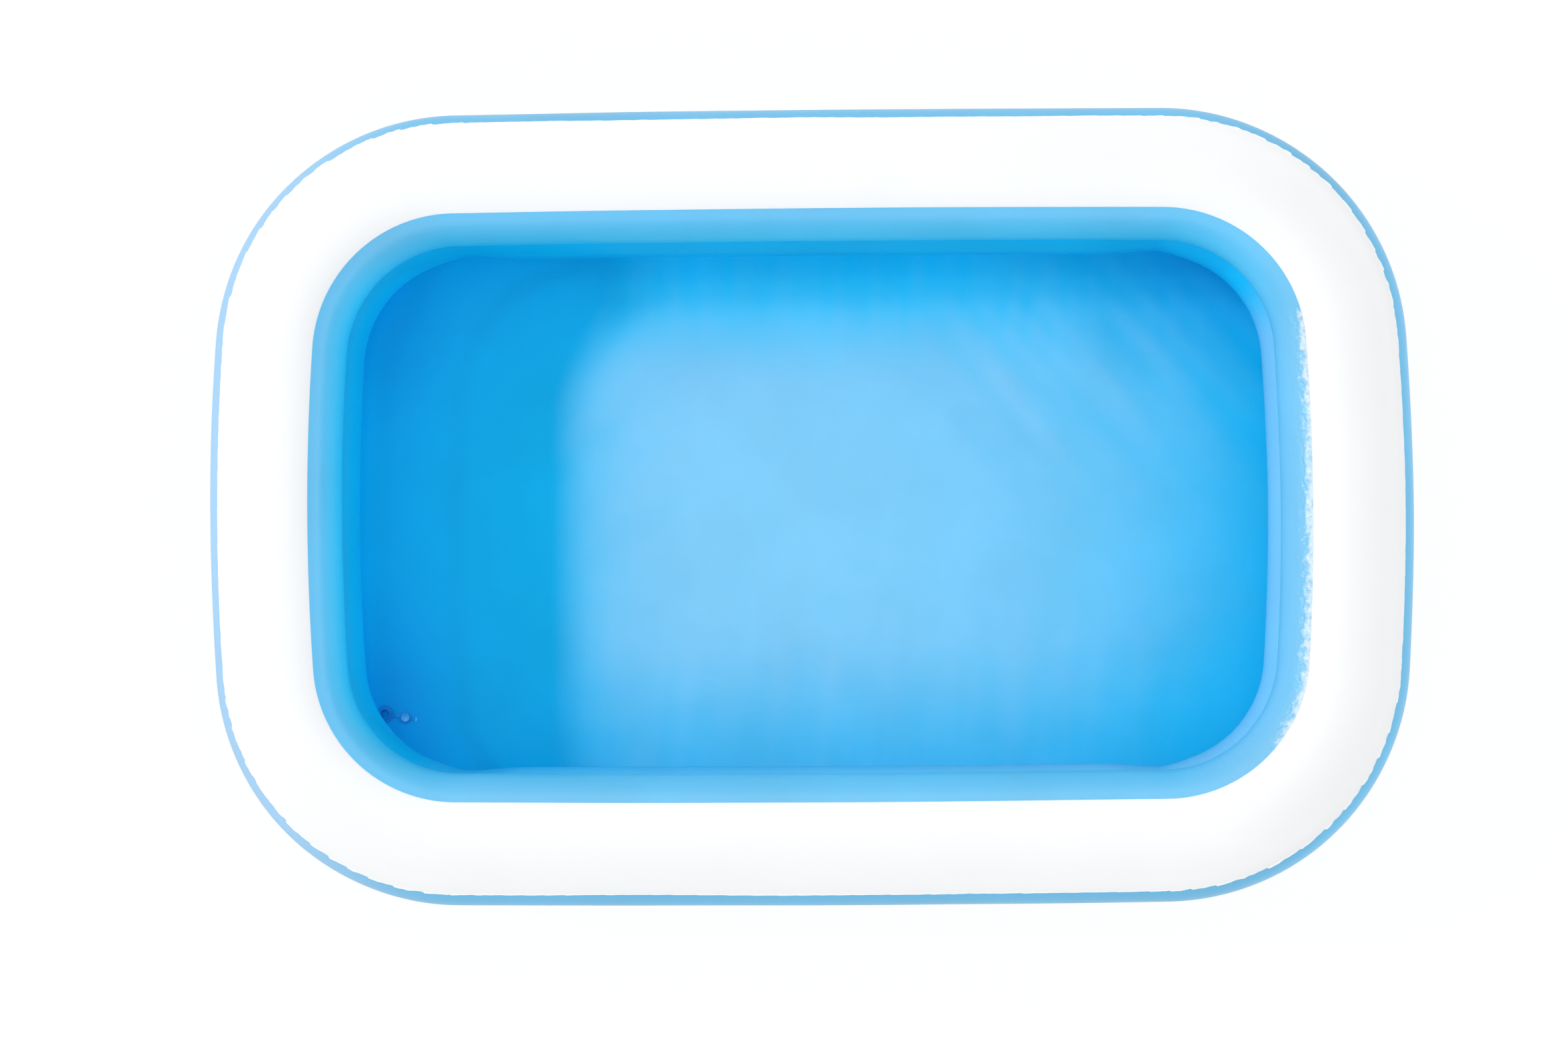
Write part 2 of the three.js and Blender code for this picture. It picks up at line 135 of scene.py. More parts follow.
class DrainSizes(PropertyGroup):
    reach: size("Plug reach", "From the drain's middle to the open plug's middle", 46.8 * MM)
    flange_radius: size("Flange radius", "Radius of the drain's flange", 19.5 * MM)
    flange_thickness: size("Flange thickness", "Thickness of the drain's flange", 1.2 * MM)
    bore_radius: size("Bore radius", "Radius of the drain's bore", 9.7 * MM)
    boss_wall: size("Boss wall", "Wall of the raised ring round the bore", 2.6 * MM)
    boss_height: size("Boss height", "Height of the raised ring round the bore", 5 * MM)
    clearance: size("Plug clearance", "Room round the plug's pin in the bore", 0.3 * MM)
    disc_radius: size("Plug disc radius", "Radius of the plug's disc", 13.3 * MM)
    disc_thickness: size("Plug disc thickness", "Thickness of the plug's disc", 1.5 * MM)
    pin_length: size("Pin length", "Length of the plug's pin", 4.8 * MM)
    pin_taper: size("Pin taper", "How much narrower the pin is at its end", 0.5 * MM)
    pin_wall: size("Pin wall", "Wall of the hollow pin", 1.4 * MM)
    strap_width: size("Strap width", "Width of the strap between drain and plug", 6 * MM)
    strap_thickness: size("Strap thickness", "Thickness of that strap", 1 * MM)
    tab_reach: size("Pull tab reach", "From the plug's middle to the pull tab's end", 27.5 * MM)
    tab_length: size("Pull tab length", "Length of the pull tab's wide end", 6 * MM)
    tab_width: size("Pull tab width", "Width of the pull tab's wide end", 9.4 * MM)
    neck_width: size("Neck width", "Width of the pull tab's neck", 4 * MM)


class ValveSizes(PropertyGroup):
    flange_radius: size("Flange radius", "Radius of the valve's flange", 15 * MM)
    flange_thickness: size("Flange thickness", "Thickness of the valve's flange", 1.2 * MM)
    sleeve_bore: size("Sleeve bore", "Bore of the sleeve that the stem slides in", 7 * MM)
    sleeve_wall: size("Sleeve wall", "Wall of that sleeve", 1.2 * MM)
    sleeve_depth: size("Sleeve depth", "Depth of that sleeve behind the wall", 16 * MM)
    clearance: size("Clearance", "Room between the valve's pieces", 0.3 * MM)
    stem_bore: size("Stem bore", "Radius of the stem's air way", 3.6 * MM)
    rim_radius: size("Rim radius", "Radius of the stem's outer rim", 8.5 * MM)
    rim_thickness: size("Rim thickness", "Thickness of the stem's outer rim", 1.2 * MM)
    inner_length: size("Inner length", "Length of the stem behind the wall", 15 * MM)
    flap_radius: size("Flap radius", "Radius of the one-way flap", 4.8 * MM)
    flap_thickness: size("Flap thickness", "Thickness of the one-way flap", 0.6 * MM)
    flap_hinge: size("Flap hinge reach", "From the valve's axis to the flap's hinge", 5.4 * MM)
    flap_lug: size("Flap lug width", "Width of the flap's lug", 3 * MM)
    cap_radius: size("Cap radius", "Radius of the cap", 8 * MM)
    cap_thickness: size("Cap thickness", "Thickness of the cap", 1.2 * MM)
    plug_length: size("Cap plug length", "Length of the cap's plug", 4 * MM)
    plug_radius: size("Cap plug radius", "Radius of the cap's plug", 3.3 * MM)
    plug_taper: size("Cap plug taper", "How much narrower that plug is at its end", 0.7 * MM)
    cap_hinge: size("Cap hinge reach", "From the valve's axis to the cap's hinge", 10.5 * MM)
    cap_strap: size("Cap strap width", "Width of the cap's strap and thumb tab", 4 * MM)
    cap_tab: size("Cap tab reach", "From the valve's axis to the thumb tab's end", 12 * MM)


class PoolColours(PropertyGroup):
    # Painted light and shade on the floor: its pale colour is painted light over the middle; the deep colour
    # is the painted shadow of the wall at the drain's end, and is mixed into the edge colour along the front
    # as painted shade; the corner colour is painted shade in its deepest corners.
    floor: colour("Floor", "Blue vinyl of the floor, pale in its middle", 0x81C6E9)
    floor_edge: colour("Floor, edges", "Blue vinyl of the floor, along the walls", 0x12C4F2)
    floor_shaded: colour("Floor, deep", "Blue vinyl of the floor, by the drain's end", 0x04ADDF)
    floor_corner_shade: colour("Floor, corners", "Blue vinyl of the floor, in its deepest corners", 0x0594D4)
    # The rings' second colours are painted light and shade: the deeper blues at the drain's end, at the rear
    # and low down are painted shade where the walls turn from the key light, the paler outer blue at the
    # drain's end is a painted sheen where that light falls, and the greyer white is painted shade on the
    # panel.
    lower_wall: colour("Lower wall", "Blue vinyl of the lower ring", 0x91D2F0)
    lower_shaded: colour("Lower wall, deep", "Blue vinyl of the lower ring, by the drain's end", 0x0FCEF8)
    upper_wall: colour("Upper wall", "Blue vinyl of the upper ring", 0x88C8E4)
    upper_shaded: colour("Upper wall, end", "Blue vinyl of the upper ring, by the drain's end", 0x73D1F5)
    upper_low: colour("Upper wall, low", "Blue vinyl of the upper ring, low down", 0x8DD0EC)
    upper_low_shaded: colour("Upper wall, deep", "Blue vinyl of the upper ring, low by the drain's end", 0x42DCF9)
    outer_wall: colour("Outer wall", "Blue vinyl outside the upper ring", 0x6BBFE2)
    outer_sheen: colour("Outer wall, end", "Blue vinyl outside the upper ring, by the drain's end", 0xA9CCE5)
    film: colour("Light through blue vinyl", "What one face of the blue sheet lets through", 0x8AF3F7)
    glow: colour("Glow of blue vinyl", "What the blue sheet scatters from the light behind it", 0x66E0FA)
    panel: colour("Top panel", "White vinyl of the top panel", 0xECEDEE)
    panel_shaded: colour("Top panel, far end", "White vinyl of the top panel, away from the drain", 0xE3E4E5)
    panel_film: colour("Light through white vinyl", "What one face of the white sheet lets through", 0xE4EAEE)
    drain: colour("Drain", "Moulded drain", 0x0482C8)
    plug: colour("Plug", "Moulded drain plug", 0x1C8ACC)
    plug_painted_glow: colour("Plug, thin", "Thin walls of the plug's pin and tab, which let light through", 0x62C2F2)
    # Painted light: paler blue on the plug's thin walls, as light shining through them
    valve: colour("Valve", "Moulded valve base and stem", 0xBFDDED)
    cap: colour("Valve cap", "Moulded valve cap", 0xDDE4E8)
    ground: colour("Ground", "Studio floor", 0xF4F4F4)


class StageSettings(PropertyGroup):
    key: level("Key light", "Level of the key light, where 1 lights white fully", 0.43)
    fill: level("Fill", "Level of the low light from the side opposite the key", 3.4)
    rim: level("Rim", "Level of the low light from the key's side", 0.6)
    overhead: level("Overhead", "Level of the light from overhead", 0.96)
    softness: FloatProperty(
        name="Softness", description="Angle that the key fills", default=math.radians(5.5), subtype="ANGLE"
    )
    lens: FloatProperty(
        name="Lens", description="Focal length on a 36 mm sensor", default=102.86, unit="CAMERA"
    )


# Rings: their plan and section


def ring_shape(sizes):
    """Sizes of the two rings that follow from the pool's own sizes."""
    ring = SimpleNamespace(pitch=sizes.gauge + sizes.gap, wall_radius=sizes.tube_radius - sizes.gauge / 2)
    ring.panel_radius = ring.wall_radius + ring.pitch
    ring.upper_centre = sizes.height - ring.panel_radius - sizes.gauge / 2
    ring.upper_flange = ring.upper_centre - math.sqrt(ring.wall_radius**2 - sizes.divider_half**2)
    ring.divider = ring.upper_flange - ring.pitch
    ring.lower_flange = ring.divider - ring.pitch
    ring.foot = ring.pitch + sizes.gauge / 2
    rise = ring.lower_flange - ring.foot
    lean = sizes.divider_half - sizes.ground_half
    ring.lower_radius = (rise**2 + lean**2) / (2 * rise)
    ring.lower_centre = ring.foot + ring.lower_radius
    half_section = sizes.ground_half + ring.lower_radius + sizes.gauge / 2
    ring.half_length = sizes.length / 2 - half_section
    ring.half_width = sizes.width / 2 - half_section
    ring.corner_x = ring.half_length - sizes.short_bow - sizes.corner_radius
    ring.corner_y = ring.half_width - sizes.long_bow - sizes.corner_radius
    ring.panel_outer = (sizes.panel_width / 2 + sizes.panel_shift) / ring.panel_radius
    ring.panel_inner = (sizes.panel_width / 2 - sizes.panel_shift) / ring.panel_radius
    return ring


def side_arc(along, corner_radius, bow):
    """Radius and half angle of the bowed side that runs smoothly into its two corners."""
    depth = corner_radius + bow
    radius = (along**2 + depth**2 - corner_radius**2) / (2 * bow)
    return radius, math.asin(along / (radius - corner_radius))


def limited(share):
    return min(1.0, max(0.0, share))


def ramp(value, start, end):
    """0 up to start, 1 from end on, and smooth between them."""
    share = limited((value - start) / (end - start))
    return share * share * (3 - 2 * share)


def bell(distance, reach):
    return math.exp(-((distance / reach) ** 2))


def mixed(first, second, share):
    return Vector(first).lerp(Vector(second), share)


def graded(length, fine, coarse, reach):
    """Marks along a length, in steps that grow from fine at both ends to coarse past reach."""
    marks = [0.0]
    while marks[-1] < length / 2:
        marks.append(marks[-1] + fine + (coarse - fine) * min(1.0, marks[-1] / reach))
    half = [mark / marks[-1] * length / 2 for mark in marks]
    return half + [length - mark for mark in reversed(half[:-1])]


CORNER_STEP = 3.2 * MM
SIDE_STEP = 11 * MM
GRADED_REACH = 150 * MM
# A side feels its corners' folds this far along, and this share of them all the way
CORNER_FADE = 90 * MM
SIDE_SHARE = 0.05
DENT_REACH = 75 * MM


def plan_stations(sizes, ring):
    """Stations round the rings' centre line: place, outward direction, distance along, how much of a
    corner they feel, and how near they are to the joint of a corner and a long side."""
    radius = sizes.corner_radius
    long_radius, long_half = side_arc(ring.corner_x, radius, sizes.long_bow)
    short_radius, short_half = side_arc(ring.corner_y, radius, sizes.short_bow)
    quarter = math.pi / 2
    arcs = (
        ("short", ring.half_length - short_radius, 0, short_radius, -short_half, short_half),
        ("first", ring.corner_x, ring.corner_y, radius, short_half, quarter - long_half),
        ("long", 0, ring.half_width - long_radius, long_radius, quarter - long_half, quarter + long_half),
        ("last", -ring.corner_x, ring.corner_y, radius, quarter + long_half, math.pi - short_half),
    )
    stations, along = [], 0.0
    for turn, sign in ((0, 1), (math.pi, -1)):
        for part, x, y, arc_radius, start, end in arcs:
            length = arc_radius * (end - start)
            corner = part in ("first", "last")
            for mark in graded(length, CORNER_STEP, CORNER_STEP if corner else SIDE_STEP, GRADED_REACH)[:-1]:
                angle = turn + start + mark / arc_radius
                outward = Vector((math.cos(angle), math.sin(angle)))
                nearest = min(mark, length - mark)
                to_joint = {"short": radius, "first": length - mark, "long": nearest, "last": mark}[part]
                felt = ramp(nearest if corner else -nearest, -CORNER_FADE, CORNER_FADE)
                stations.append(SimpleNamespace(
                    place=Vector((x, y)) * sign + outward * arc_radius,
                    outward=outward,
                    along=along + mark,
                    corner=SIDE_SHARE + (1 - SIDE_SHARE) * felt,
                    joint=bell(to_joint, DENT_REACH),
                ))
            along += length
    return stations, along


def on_arc(centre, radius, angle):
    return Vector((centre[0] + radius * math.cos(angle), centre[1] + radius * math.sin(angle)))


def arc(centre, radius, start, end, spacing):
    """Points of the section along an arc, both ends included."""
    count = max(1, math.ceil(abs(end - start) * radius / spacing))
    return [on_arc(centre, radius, start + (end - start) * step / count) for step in range(count + 1)]


def mirrored(points, side=-1):
    return [Vector((side * point.x, point.y)) for point in points]


# Where the points across a welded strip, and across the outer wall's lap under the panel, lie
STRIP_SHARES = (0.0, 0.06, 0.5, 1.0)
LAP_SHARES = (0.5, 0.94, 1.0)
ROW_SPACING = 10 * MM
LOWER_ROW_SPACING = 11.5 * MM
WEB_ROWS = 8
# The outer wall runs on this far under the panel, whose edge wanders on it
SPARE_LAP = 6 * MM


def strip(edge, bend):
    """Points across a welded strip, from its cut edge to where the sheet leaves the weld."""
    return [edge.lerp(bend, share) for share in STRIP_SHARES]


def lower_section(sizes, ring, side):
    top = math.atan2(ring.lower_flange - ring.lower_centre, sizes.divider_half - sizes.ground_half)
    centre = (sizes.ground_half, ring.lower_centre)
    wall = arc(centre, ring.lower_radius, -math.pi / 2, top, LOWER_ROW_SPACING)
    foot = strip(Vector((sizes.ground_half - sizes.seam, ring.foot)), wall[0])
    flange = strip(Vector((sizes.divider_half + sizes.seam, ring.lower_flange)), wall[-1])
    return mirrored(foot + wall[1:-1] + flange[::-1], side)


def upper_section(sizes, ring, side):
    centre = (0, ring.upper_centre)
    bottom = math.atan2(ring.upper_flange - ring.upper_centre, sizes.divider_half)
    seam = math.pi / 2 - (ring.panel_outer if side > 0 else ring.panel_inner)
    lap = (sizes.seam + (SPARE_LAP if side > 0 else 0)) / ring.wall_radius
    wall = arc(centre, ring.wall_radius, bottom, seam, ROW_SPACING)
    flange = strip(Vector((sizes.divider_half + sizes.seam, ring.upper_flange)), wall[0])
    under = [on_arc(centre, ring.wall_radius, seam + lap * share) for share in LAP_SHARES]
    return mirrored(flange + wall[1:] + under, side)


def panel_section(sizes, ring):
    centre, radius = (0, ring.upper_centre), ring.panel_radius
    lap = sizes.seam / radius
    outer = math.pi / 2 - ring.panel_outer
    inner = math.pi / 2 + ring.panel_inner
    angles = [outer + lap * share for share in STRIP_SHARES]
    angles += [inner - lap * share for share in reversed(STRIP_SHARES)]
    strips = [Vector((math.cos(angle), math.sin(angle))) * radius + Vector(centre) for angle in angles]
    middle = arc(centre, radius, outer + lap, inner - lap, ROW_SPACING)[1:-1]
    return strips[: len(STRIP_SHARES)] + middle + strips[len(STRIP_SHARES) :]


def divider_section(sizes, ring):
    edge = sizes.divider_half + sizes.seam
    half = strip(Vector((-edge, ring.divider)), Vector((-sizes.divider_half, ring.divider)))
    shares = [step / WEB_ROWS for step in range(1, WEB_ROWS)]
    web = [Vector((sizes.divider_half * (2 * share - 1), ring.divider)) for share in shares]
    return half + web + mirrored(half[::-1])


# Folds, waves and dents of the blown-up sheets


def ripple(station, wavelength, seed, height=0.0):
    """Noise that runs along the rings and changes slowly up the section."""
    return noise.noise(Vector((station.place.x / wavelength, station.place.y / wavelength, seed + height)))


# Shares, wavelengths and seeds of the waves in the weld
WELD_WAVES = ((0.6, 19 * MM, 4.1), (0.4, 9 * MM, 9.3))
WELD_WAVE_REACH = 30 * MM
FOLD_WIDTH, FINE_FOLD_WIDTH, FOLD_LENGTH = 27 * MM, 11 * MM, 110 * MM
FOLD_REACH = 75 * MM
SWELL_WIDTH = 330 * MM
# A weld and the floor's edge hold a wall still as far as this from them
WELD_HOLD, FOOT_HOLD = 14 * MM, 20 * MM
# The outer sheets are pulled tighter, and show less of the waves and folds
OUTER_WAVES, OUTER_FOLDS = 0.5, 0.35


def settled(context, station, point, tube):
    """Where a point of a sheet's section comes to rest once the ring is blown up. Sheets that share a weld
    or a tube get the same move there, so they stay beside each other."""
    sizes, ring, wrinkles = context.sizes, context.ring, context.wrinkles
    out, height = point
    weld = math.hypot(abs(out) - sizes.divider_half - sizes.seam / 2, height - ring.divider)
    inner = out < 0
    wave = sum(share * ripple(station, width, seed) for share, width, seed in WELD_WAVES)
    wave *= math.exp(-weld / WELD_WAVE_REACH) * (1.0 if inner else OUTER_WAVES)
    height_now = height + wrinkles.weld_wave * station.corner * wave
    if tube is None:
        return Vector((out, height_now))
    foot = math.hypot(abs(out) - sizes.ground_half, height - ring.foot)
    free = (1 - bell(weld, WELD_HOLD)) * (1 - bell(foot, FOOT_HOLD))
    climb = height / FOLD_LENGTH
    crease = 1 - 2.4 * abs(ripple(station, FOLD_WIDTH, 2.3, climb))
    fold = wrinkles.fold * crease + wrinkles.fine_fold * ripple(station, FINE_FOLD_WIDTH, 6.7, climb)
    fold *= station.corner * (0.1 + 0.9 * math.exp(-weld / FOLD_REACH)) * (1.0 if inner else OUTER_FOLDS)
    place = station.place + station.outward * out
    swell = wrinkles.swell * noise.noise(Vector((place.x, place.y, height + 3.0)) / SWELL_WIDTH)
    radial = (point - Vector(tube)).normalized()
    moved = Vector((out, height_now)) + radial * free * (fold + swell)
    if inner and tube[0] != 0:
        moved.x += wrinkles.dent * station.joint * free * ramp(height, 0, ring.lower_centre)
    return moved


def lower_tint(context, station, point, tube):
    """Colour of the lower ring's sheet, with painted shade: deeper by the drain's end and at the rear, where
    the inside turns from the key light.
    """
    if point.x > 0 and tube is not None:
        return Vector(context.colours.outer_wall)
    # Painted shade: the share of the deeper blue
    rear = ramp(station.outward.y, 0.1, 0.7)
    end = limited(max(rear, 0.45 * (1 - station.outward.x) - 0.35 * station.place.x))
    return mixed(context.colours.lower_wall, context.colours.lower_shaded, end)


def upper_tint(context, station, point, tube):
    """Colour of the upper ring's sheet, with painted light and shade: outside, a paler painted sheen high up
    by the drain's end; inside, a slightly different blue low down, and painted shade by the drain's end and
    at the rear, deeper low down.
    """
    colours, inner = context.colours, context.ring.panel_inner
    if point.x > 0:
        # Painted sheen where the key light falls on the outside, high up by the drain's end
        high = ramp(point.y - tube[1], 0, 70 * MM)
        return mixed(colours.outer_wall, colours.outer_sheen, high * ramp(-1.1 * station.outward.x, 0, 1))
    # Painted shade on the inside, by the drain's end and at the rear, deepest low down
    end = limited(max(0.85 * station.outward.y, 0.45 - 0.65 * station.outward.x))
    low = ramp(math.atan2(-point.x, point.y - tube[1]), inner, math.pi / 2)
    shown = mixed(colours.upper_wall, colours.upper_shaded, end)
    return mixed(shown, mixed(colours.upper_low, colours.upper_low_shaded, end), low)


def panel_tint(context, station, point, tube):
    """Colour of the white panel, with painted shade: a little greyer away from the drain's end, and towards
    its outer edge in front and at the far rear, where it slopes away from the light, but not on its very
    edge."""
    ring = context.ring
    outer = ramp(point.x, -88 * MM, 132 * MM)
    front = outer * ramp(-station.outward.y, 0.2, 0.7)
    rear = outer * ramp(station.place.x, 0, 0.6)
    far = ramp(station.outward.x, -0.25, 0.75) * ramp(point.x, -112 * MM, 48 * MM)
    inside = (ring.panel_outer - math.atan2(point.x, point.y - tube[1])) * ring.panel_radius
    # The painted shade stops a few millimetres short of the panel's very edge
    share = max(far, front, rear) * ramp(inside, 2 * MM, 7 * MM)
    return mixed(context.colours.panel, context.colours.panel_shaded, share)


PINCH_REACH = 70 * MM


def pinch(context, station, point, tube):
    """How crinkled the upper inner wall is, close under the panel's weld at the far end, which also sets how
    much of the painted glints it shows.
    """
    if tube is None or tube[0] != 0 or point.x > 0:
        return 0.0
    below = (math.atan2(-point.x, point.y - tube[1]) - context.ring.panel_inner) * context.ring.wall_radius
    if not 0 <= below < PINCH_REACH:
        return 0.0
    far = station.outward.x - 0.7 * max(0.0, station.outward.y)
    return (1 - below / PINCH_REACH) ** 2 * ramp(far, 0.62, 0.87)


# Wavelengths of the panel's edge: of the change in its steps' pitch, of their roughness, and of its drift
PITCH_CHANGE, STEP_ROUGHNESS, EDGE_DRIFT = 170 * MM, 11 * MM, 210 * MM


def ragged(context, station, across):
    """How far the white panel's outer edge wanders, as a turn about the tube, fading into the panel: it
    drifts off its line and jumps back, at each place where the welder took up the slack."""
    wrinkles = context.wrinkles
    phase = station.along / wrinkles.ragged_pitch + 1.6 * ripple(station, PITCH_CHANGE, 12.9)
    steps = phase % 1 - 0.5 + 0.7 * ripple(station, STEP_ROUGHNESS, 17.1)
    wander = steps * (0.2 + 0.8 * station.corner) + 0.5 * ripple(station, EDGE_DRIFT, 21.7)
    fade = max(0.0, 1 - across / (2.2 * context.sizes.seam))
    return (wrinkles.ragged_edge * wander + wrinkles.edge_creep) * fade / context.ring.panel_radius


def build_context():
    scene = bpy.context.scene
    sizes = scene.pool_sizes
    context = SimpleNamespace(sizes=sizes, wrinkles=scene.pool_wrinkles, colours=scene.pool_colours)
    context.ring = ring_shape(sizes)
    context.stations, context.perimeter = plan_stations(sizes, context.ring)
    return context


# Meshes and pieces


SHARP_ANGLE = math.radians(35)


def finished(name, bm, material, thickness=None):
    """Turns a bmesh into a smooth object with its material, and gives a sheet its thickness."""
    mesh = bpy.data.meshes.new(name)
    bm.to_mesh(mesh)
    bm.free()
    mesh.polygons.foreach_set("use_smooth", [True] * len(mesh.polygons))
    piece = bpy.data.objects.new(name, mesh)
    bpy.context.scene.collection.objects.link(piece)
    mesh.materials.append(material)
    if thickness:
        solid = piece.modifiers.new("gauge", "SOLIDIFY")
        solid.thickness = thickness
        solid.offset = 0
        solid.use_even_offset = True
    else:
        mesh.set_sharp_from_angle(angle=SHARP_ANGLE)
    return piece


def dressed(piece, body, slot, *nodes):
    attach(piece, body)
    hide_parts(*nodes)
    return piece


def once(parts):
    """The parts in their order, each of them once, so that every run makes the same mesh."""
    return list(dict.fromkeys(parts))


# How far up and down its frame a hole reaches, so that it leaves the far wall alone
HOLE_DEPTH = 30 * MM
HOLE_CUTS = 4


def opened(bm, matrix, radius, inner, spread):
    """Opens a round hole in a sheet about a frame's Z axis: the faces within spread of it are cut finer, the
    points inside a share of the radius go, and those on the new edge move onto the circle."""
    to_frame = matrix.inverted()

    def away(point):
        local = to_frame @ point
        return math.hypot(local.x, local.y) if abs(local.z) < HOLE_DEPTH else math.inf

    near = [face for face in bm.faces if away(face.calc_center_median()) < spread]
    edges = once(edge for face in near for edge in face.edges)
    bmesh.ops.subdivide_edges(bm, edges=edges, cuts=HOLE_CUTS, use_grid_fill=True)
    gone = [vert for vert in bm.verts if away(vert.co) < inner * radius]
    bmesh.ops.delete(bm, geom=gone, context="VERTS")
    for vert in bm.verts:
        if vert.is_boundary and away(vert.co) < radius * 1.5:
            grow = radius / away(vert.co)
            vert.co = matrix @ Matrix.Diagonal((grow, grow, 1, 1)) @ to_frame @ vert.co


# The panel's edge stands off its weld over this width, and a weld's ribs fade over the next
LIFT_REACH = 6 * MM
WELD_FADE = 2 * MM


def ring_sheet(context, name, section, tube, material, colour_at, valve=None, wander=None):
    """One sheet of the rings: its section carried round the plan, with its folds."""
    stations = context.stations
    columns, rows = len(stations), len(section) - 1
    across = [0.0]
    for here, following in zip(section, section[1:]):
        across.append(across[-1] + (following - here).length)
    bm = bmesh.new()
    bmesh.ops.create_grid(bm, x_segments=columns, y_segments=rows, size=1)
    weld = bm.verts.layers.float.new("weld")
    crinkle_and_glint = bm.verts.layers.float.new("crinkle_and_glint")
    tint = bm.verts.layers.float_color.new("tint")
    unrolled = {}
    for vert in bm.verts:
        column = round((vert.co.x + 1) / 2 * columns)
        row = round((vert.co.y + 1) / 2 * rows)
        station = stations[column % columns]
        point = section[row]
        if wander:
            turn = Matrix.Rotation(wander(context, station, across[row]), 2)
            point = Vector(tube) + turn @ (point - Vector(tube))
        vert[crinkle_and_glint] = pinch(context, station, point, tube)
        vert[tint] = (*colour_at(context, station, point, tube), 1)
        point = settled(context, station, point, tube)
        if wander:
            lift = context.wrinkles.lifted_edge * max(0.0, 1 - across[row] / LIFT_REACH) ** 2
            point += (point - Vector(tube)).normalized() * lift
        plan = station.place + station.outward * point.x
        vert.co = (plan.x, plan.y, point.y)
        edge = min(across[row], across[-1] - across[row])
        vert[weld] = 1 - ramp(edge, context.sizes.seam, context.sizes.seam + WELD_FADE)
        unrolled[vert] = (context.perimeter if column == columns else station.along, across[row])
    layer = bm.loops.layers.uv.new("unrolled")
    for face in bm.faces:
        for loop in face.loops:
            loop[layer].uv = unrolled[loop.vert]
    first = [vert for vert, flat in unrolled.items() if flat[0] in (0.0, context.perimeter)]
    bmesh.ops.remove_doubles(bm, verts=first, dist=MERGED)
    bmesh.ops.recalc_face_normals(bm, faces=bm.faces)
    if valve is not None:
        seat_valve(context, bm, valve)
    return finished(name, bm, material, context.sizes.gauge)


# A wall lies flat under a valve as far as its pad, and has its own form again past the fade
VALVE_PAD = 17 * MM
VALVE_FADE = 30 * MM


def seat_valve(context, bm, valve):
    """Opens the hole for a valve's sleeve in a wall, and pulls the wall flat under its flange."""
    sizes = bpy.context.scene.valve_sizes
    hole = sizes.sleeve_bore + sizes.sleeve_wall + sizes.clearance
    opened(bm, valve, hole, 0.88, VALVE_PAD + VALVE_FADE / 2)
    to_valve = valve.inverted()
    for vert in bm.verts:
        local = to_valve @ vert.co
        share = 1 - ramp(math.hypot(local.x, local.y), VALVE_PAD, VALVE_PAD + VALVE_FADE)
        if share > 0 and abs(local.z) < HOLE_DEPTH:
            local.z += (-context.sizes.gauge / 2 - local.z) * share
            vert.co = valve @ local


def rounded_square(x, y):
    """Squeezes a unit square's corner into a quarter disc and keeps its straight edges."""
    return x * math.sqrt(1 - y * y / 2), y * math.sqrt(1 - x * x / 2)


FLOOR_STEP = 11 * MM


def floor_plan(context, x, y):
    """A point of the floor sheet, from a point of the rectangle round it: the corners are rounded and the
    sides bow as the rings do."""
    sizes, ring = context.sizes, context.ring
    radius = sizes.corner_radius + sizes.ground_half + sizes.seam
    beyond_x, beyond_y = abs(x) - ring.corner_x, abs(y) - ring.corner_y
    if beyond_x > 0 and beyond_y > 0:
        share_x, share_y = rounded_square(beyond_x / radius, beyond_y / radius)
        x = math.copysign(ring.corner_x + share_x * radius, x)
        y = math.copysign(ring.corner_y + share_y * radius, y)
    bow_x = sizes.short_bow * max(0.0, 1 - (y / ring.corner_y) ** 2) * (abs(x) / ring.half_length) ** 3
    bow_y = sizes.long_bow * max(0.0, 1 - (x / ring.corner_x) ** 2) * (abs(y) / ring.half_width) ** 3
    return Vector((x + math.copysign(bow_x, x), y + math.copysign(bow_y, y)))


def inside_foot(context, plan):
    """Distance from the line where the inner wall leaves the floor, counted inward."""
    sizes, ring = context.sizes, context.ring
    radius = sizes.corner_radius - sizes.ground_half
    beyond = Vector((max(0.0, abs(plan.x) - ring.corner_x), max(0.0, abs(plan.y) - ring.corner_y)))
    if beyond.x > 0 and beyond.y > 0:
        return radius - beyond.length
    return min(ring.corner_x + radius - abs(plan.x), ring.corner_y + radius - abs(plan.y))


def slanted(plan, angle, across, along, seed):
    """Noise drawn out into long streaks that run at an angle to the X axis."""
    cosine, sine = math.cos(angle), math.sin(angle)
    run, side = plan.x * cosine + plan.y * sine, plan.y * cosine - plan.x * sine
    return noise.noise(Vector((run / along, side / across, seed)))


def creases(plan):
    """Height of the floor's long creases, from 0 to about 1: they slant in the corners and run across the
    floor by its long sides. Each field has its share there, its direction in degrees, its streaks' width and
    length, and a seed."""
    fields = (
        (ramp(plan.x, 0.1, 0.6) * ramp(plan.y, -0.05, 0.3), -48, 0.045, 0.4, 2.2),
        (0.5 * ramp(-plan.x, 0.1, 0.6) * ramp(plan.y, -0.2, 0.2), 42, 0.06, 0.5, 7.4),
        (0.28 * ramp(-plan.y, 0.1, 0.4), 86, 0.035, 0.25, 4.8),
        (0.6 * ramp(plan.y, 0.3, 0.5), 88, 0.03, 0.22, 9.8),
    )
    height, plain = 0.12 * noise.noise(Vector((plan.x / 0.07, plan.y / 0.06, 8.1))), 1.0
    for share, angle, across, along, seed in fields:
        height += share * (0.5 + 0.9 * slanted(plan, math.radians(angle), across, along, seed))
        plain -= share
    return height + 0.45 * max(0.0, plain)


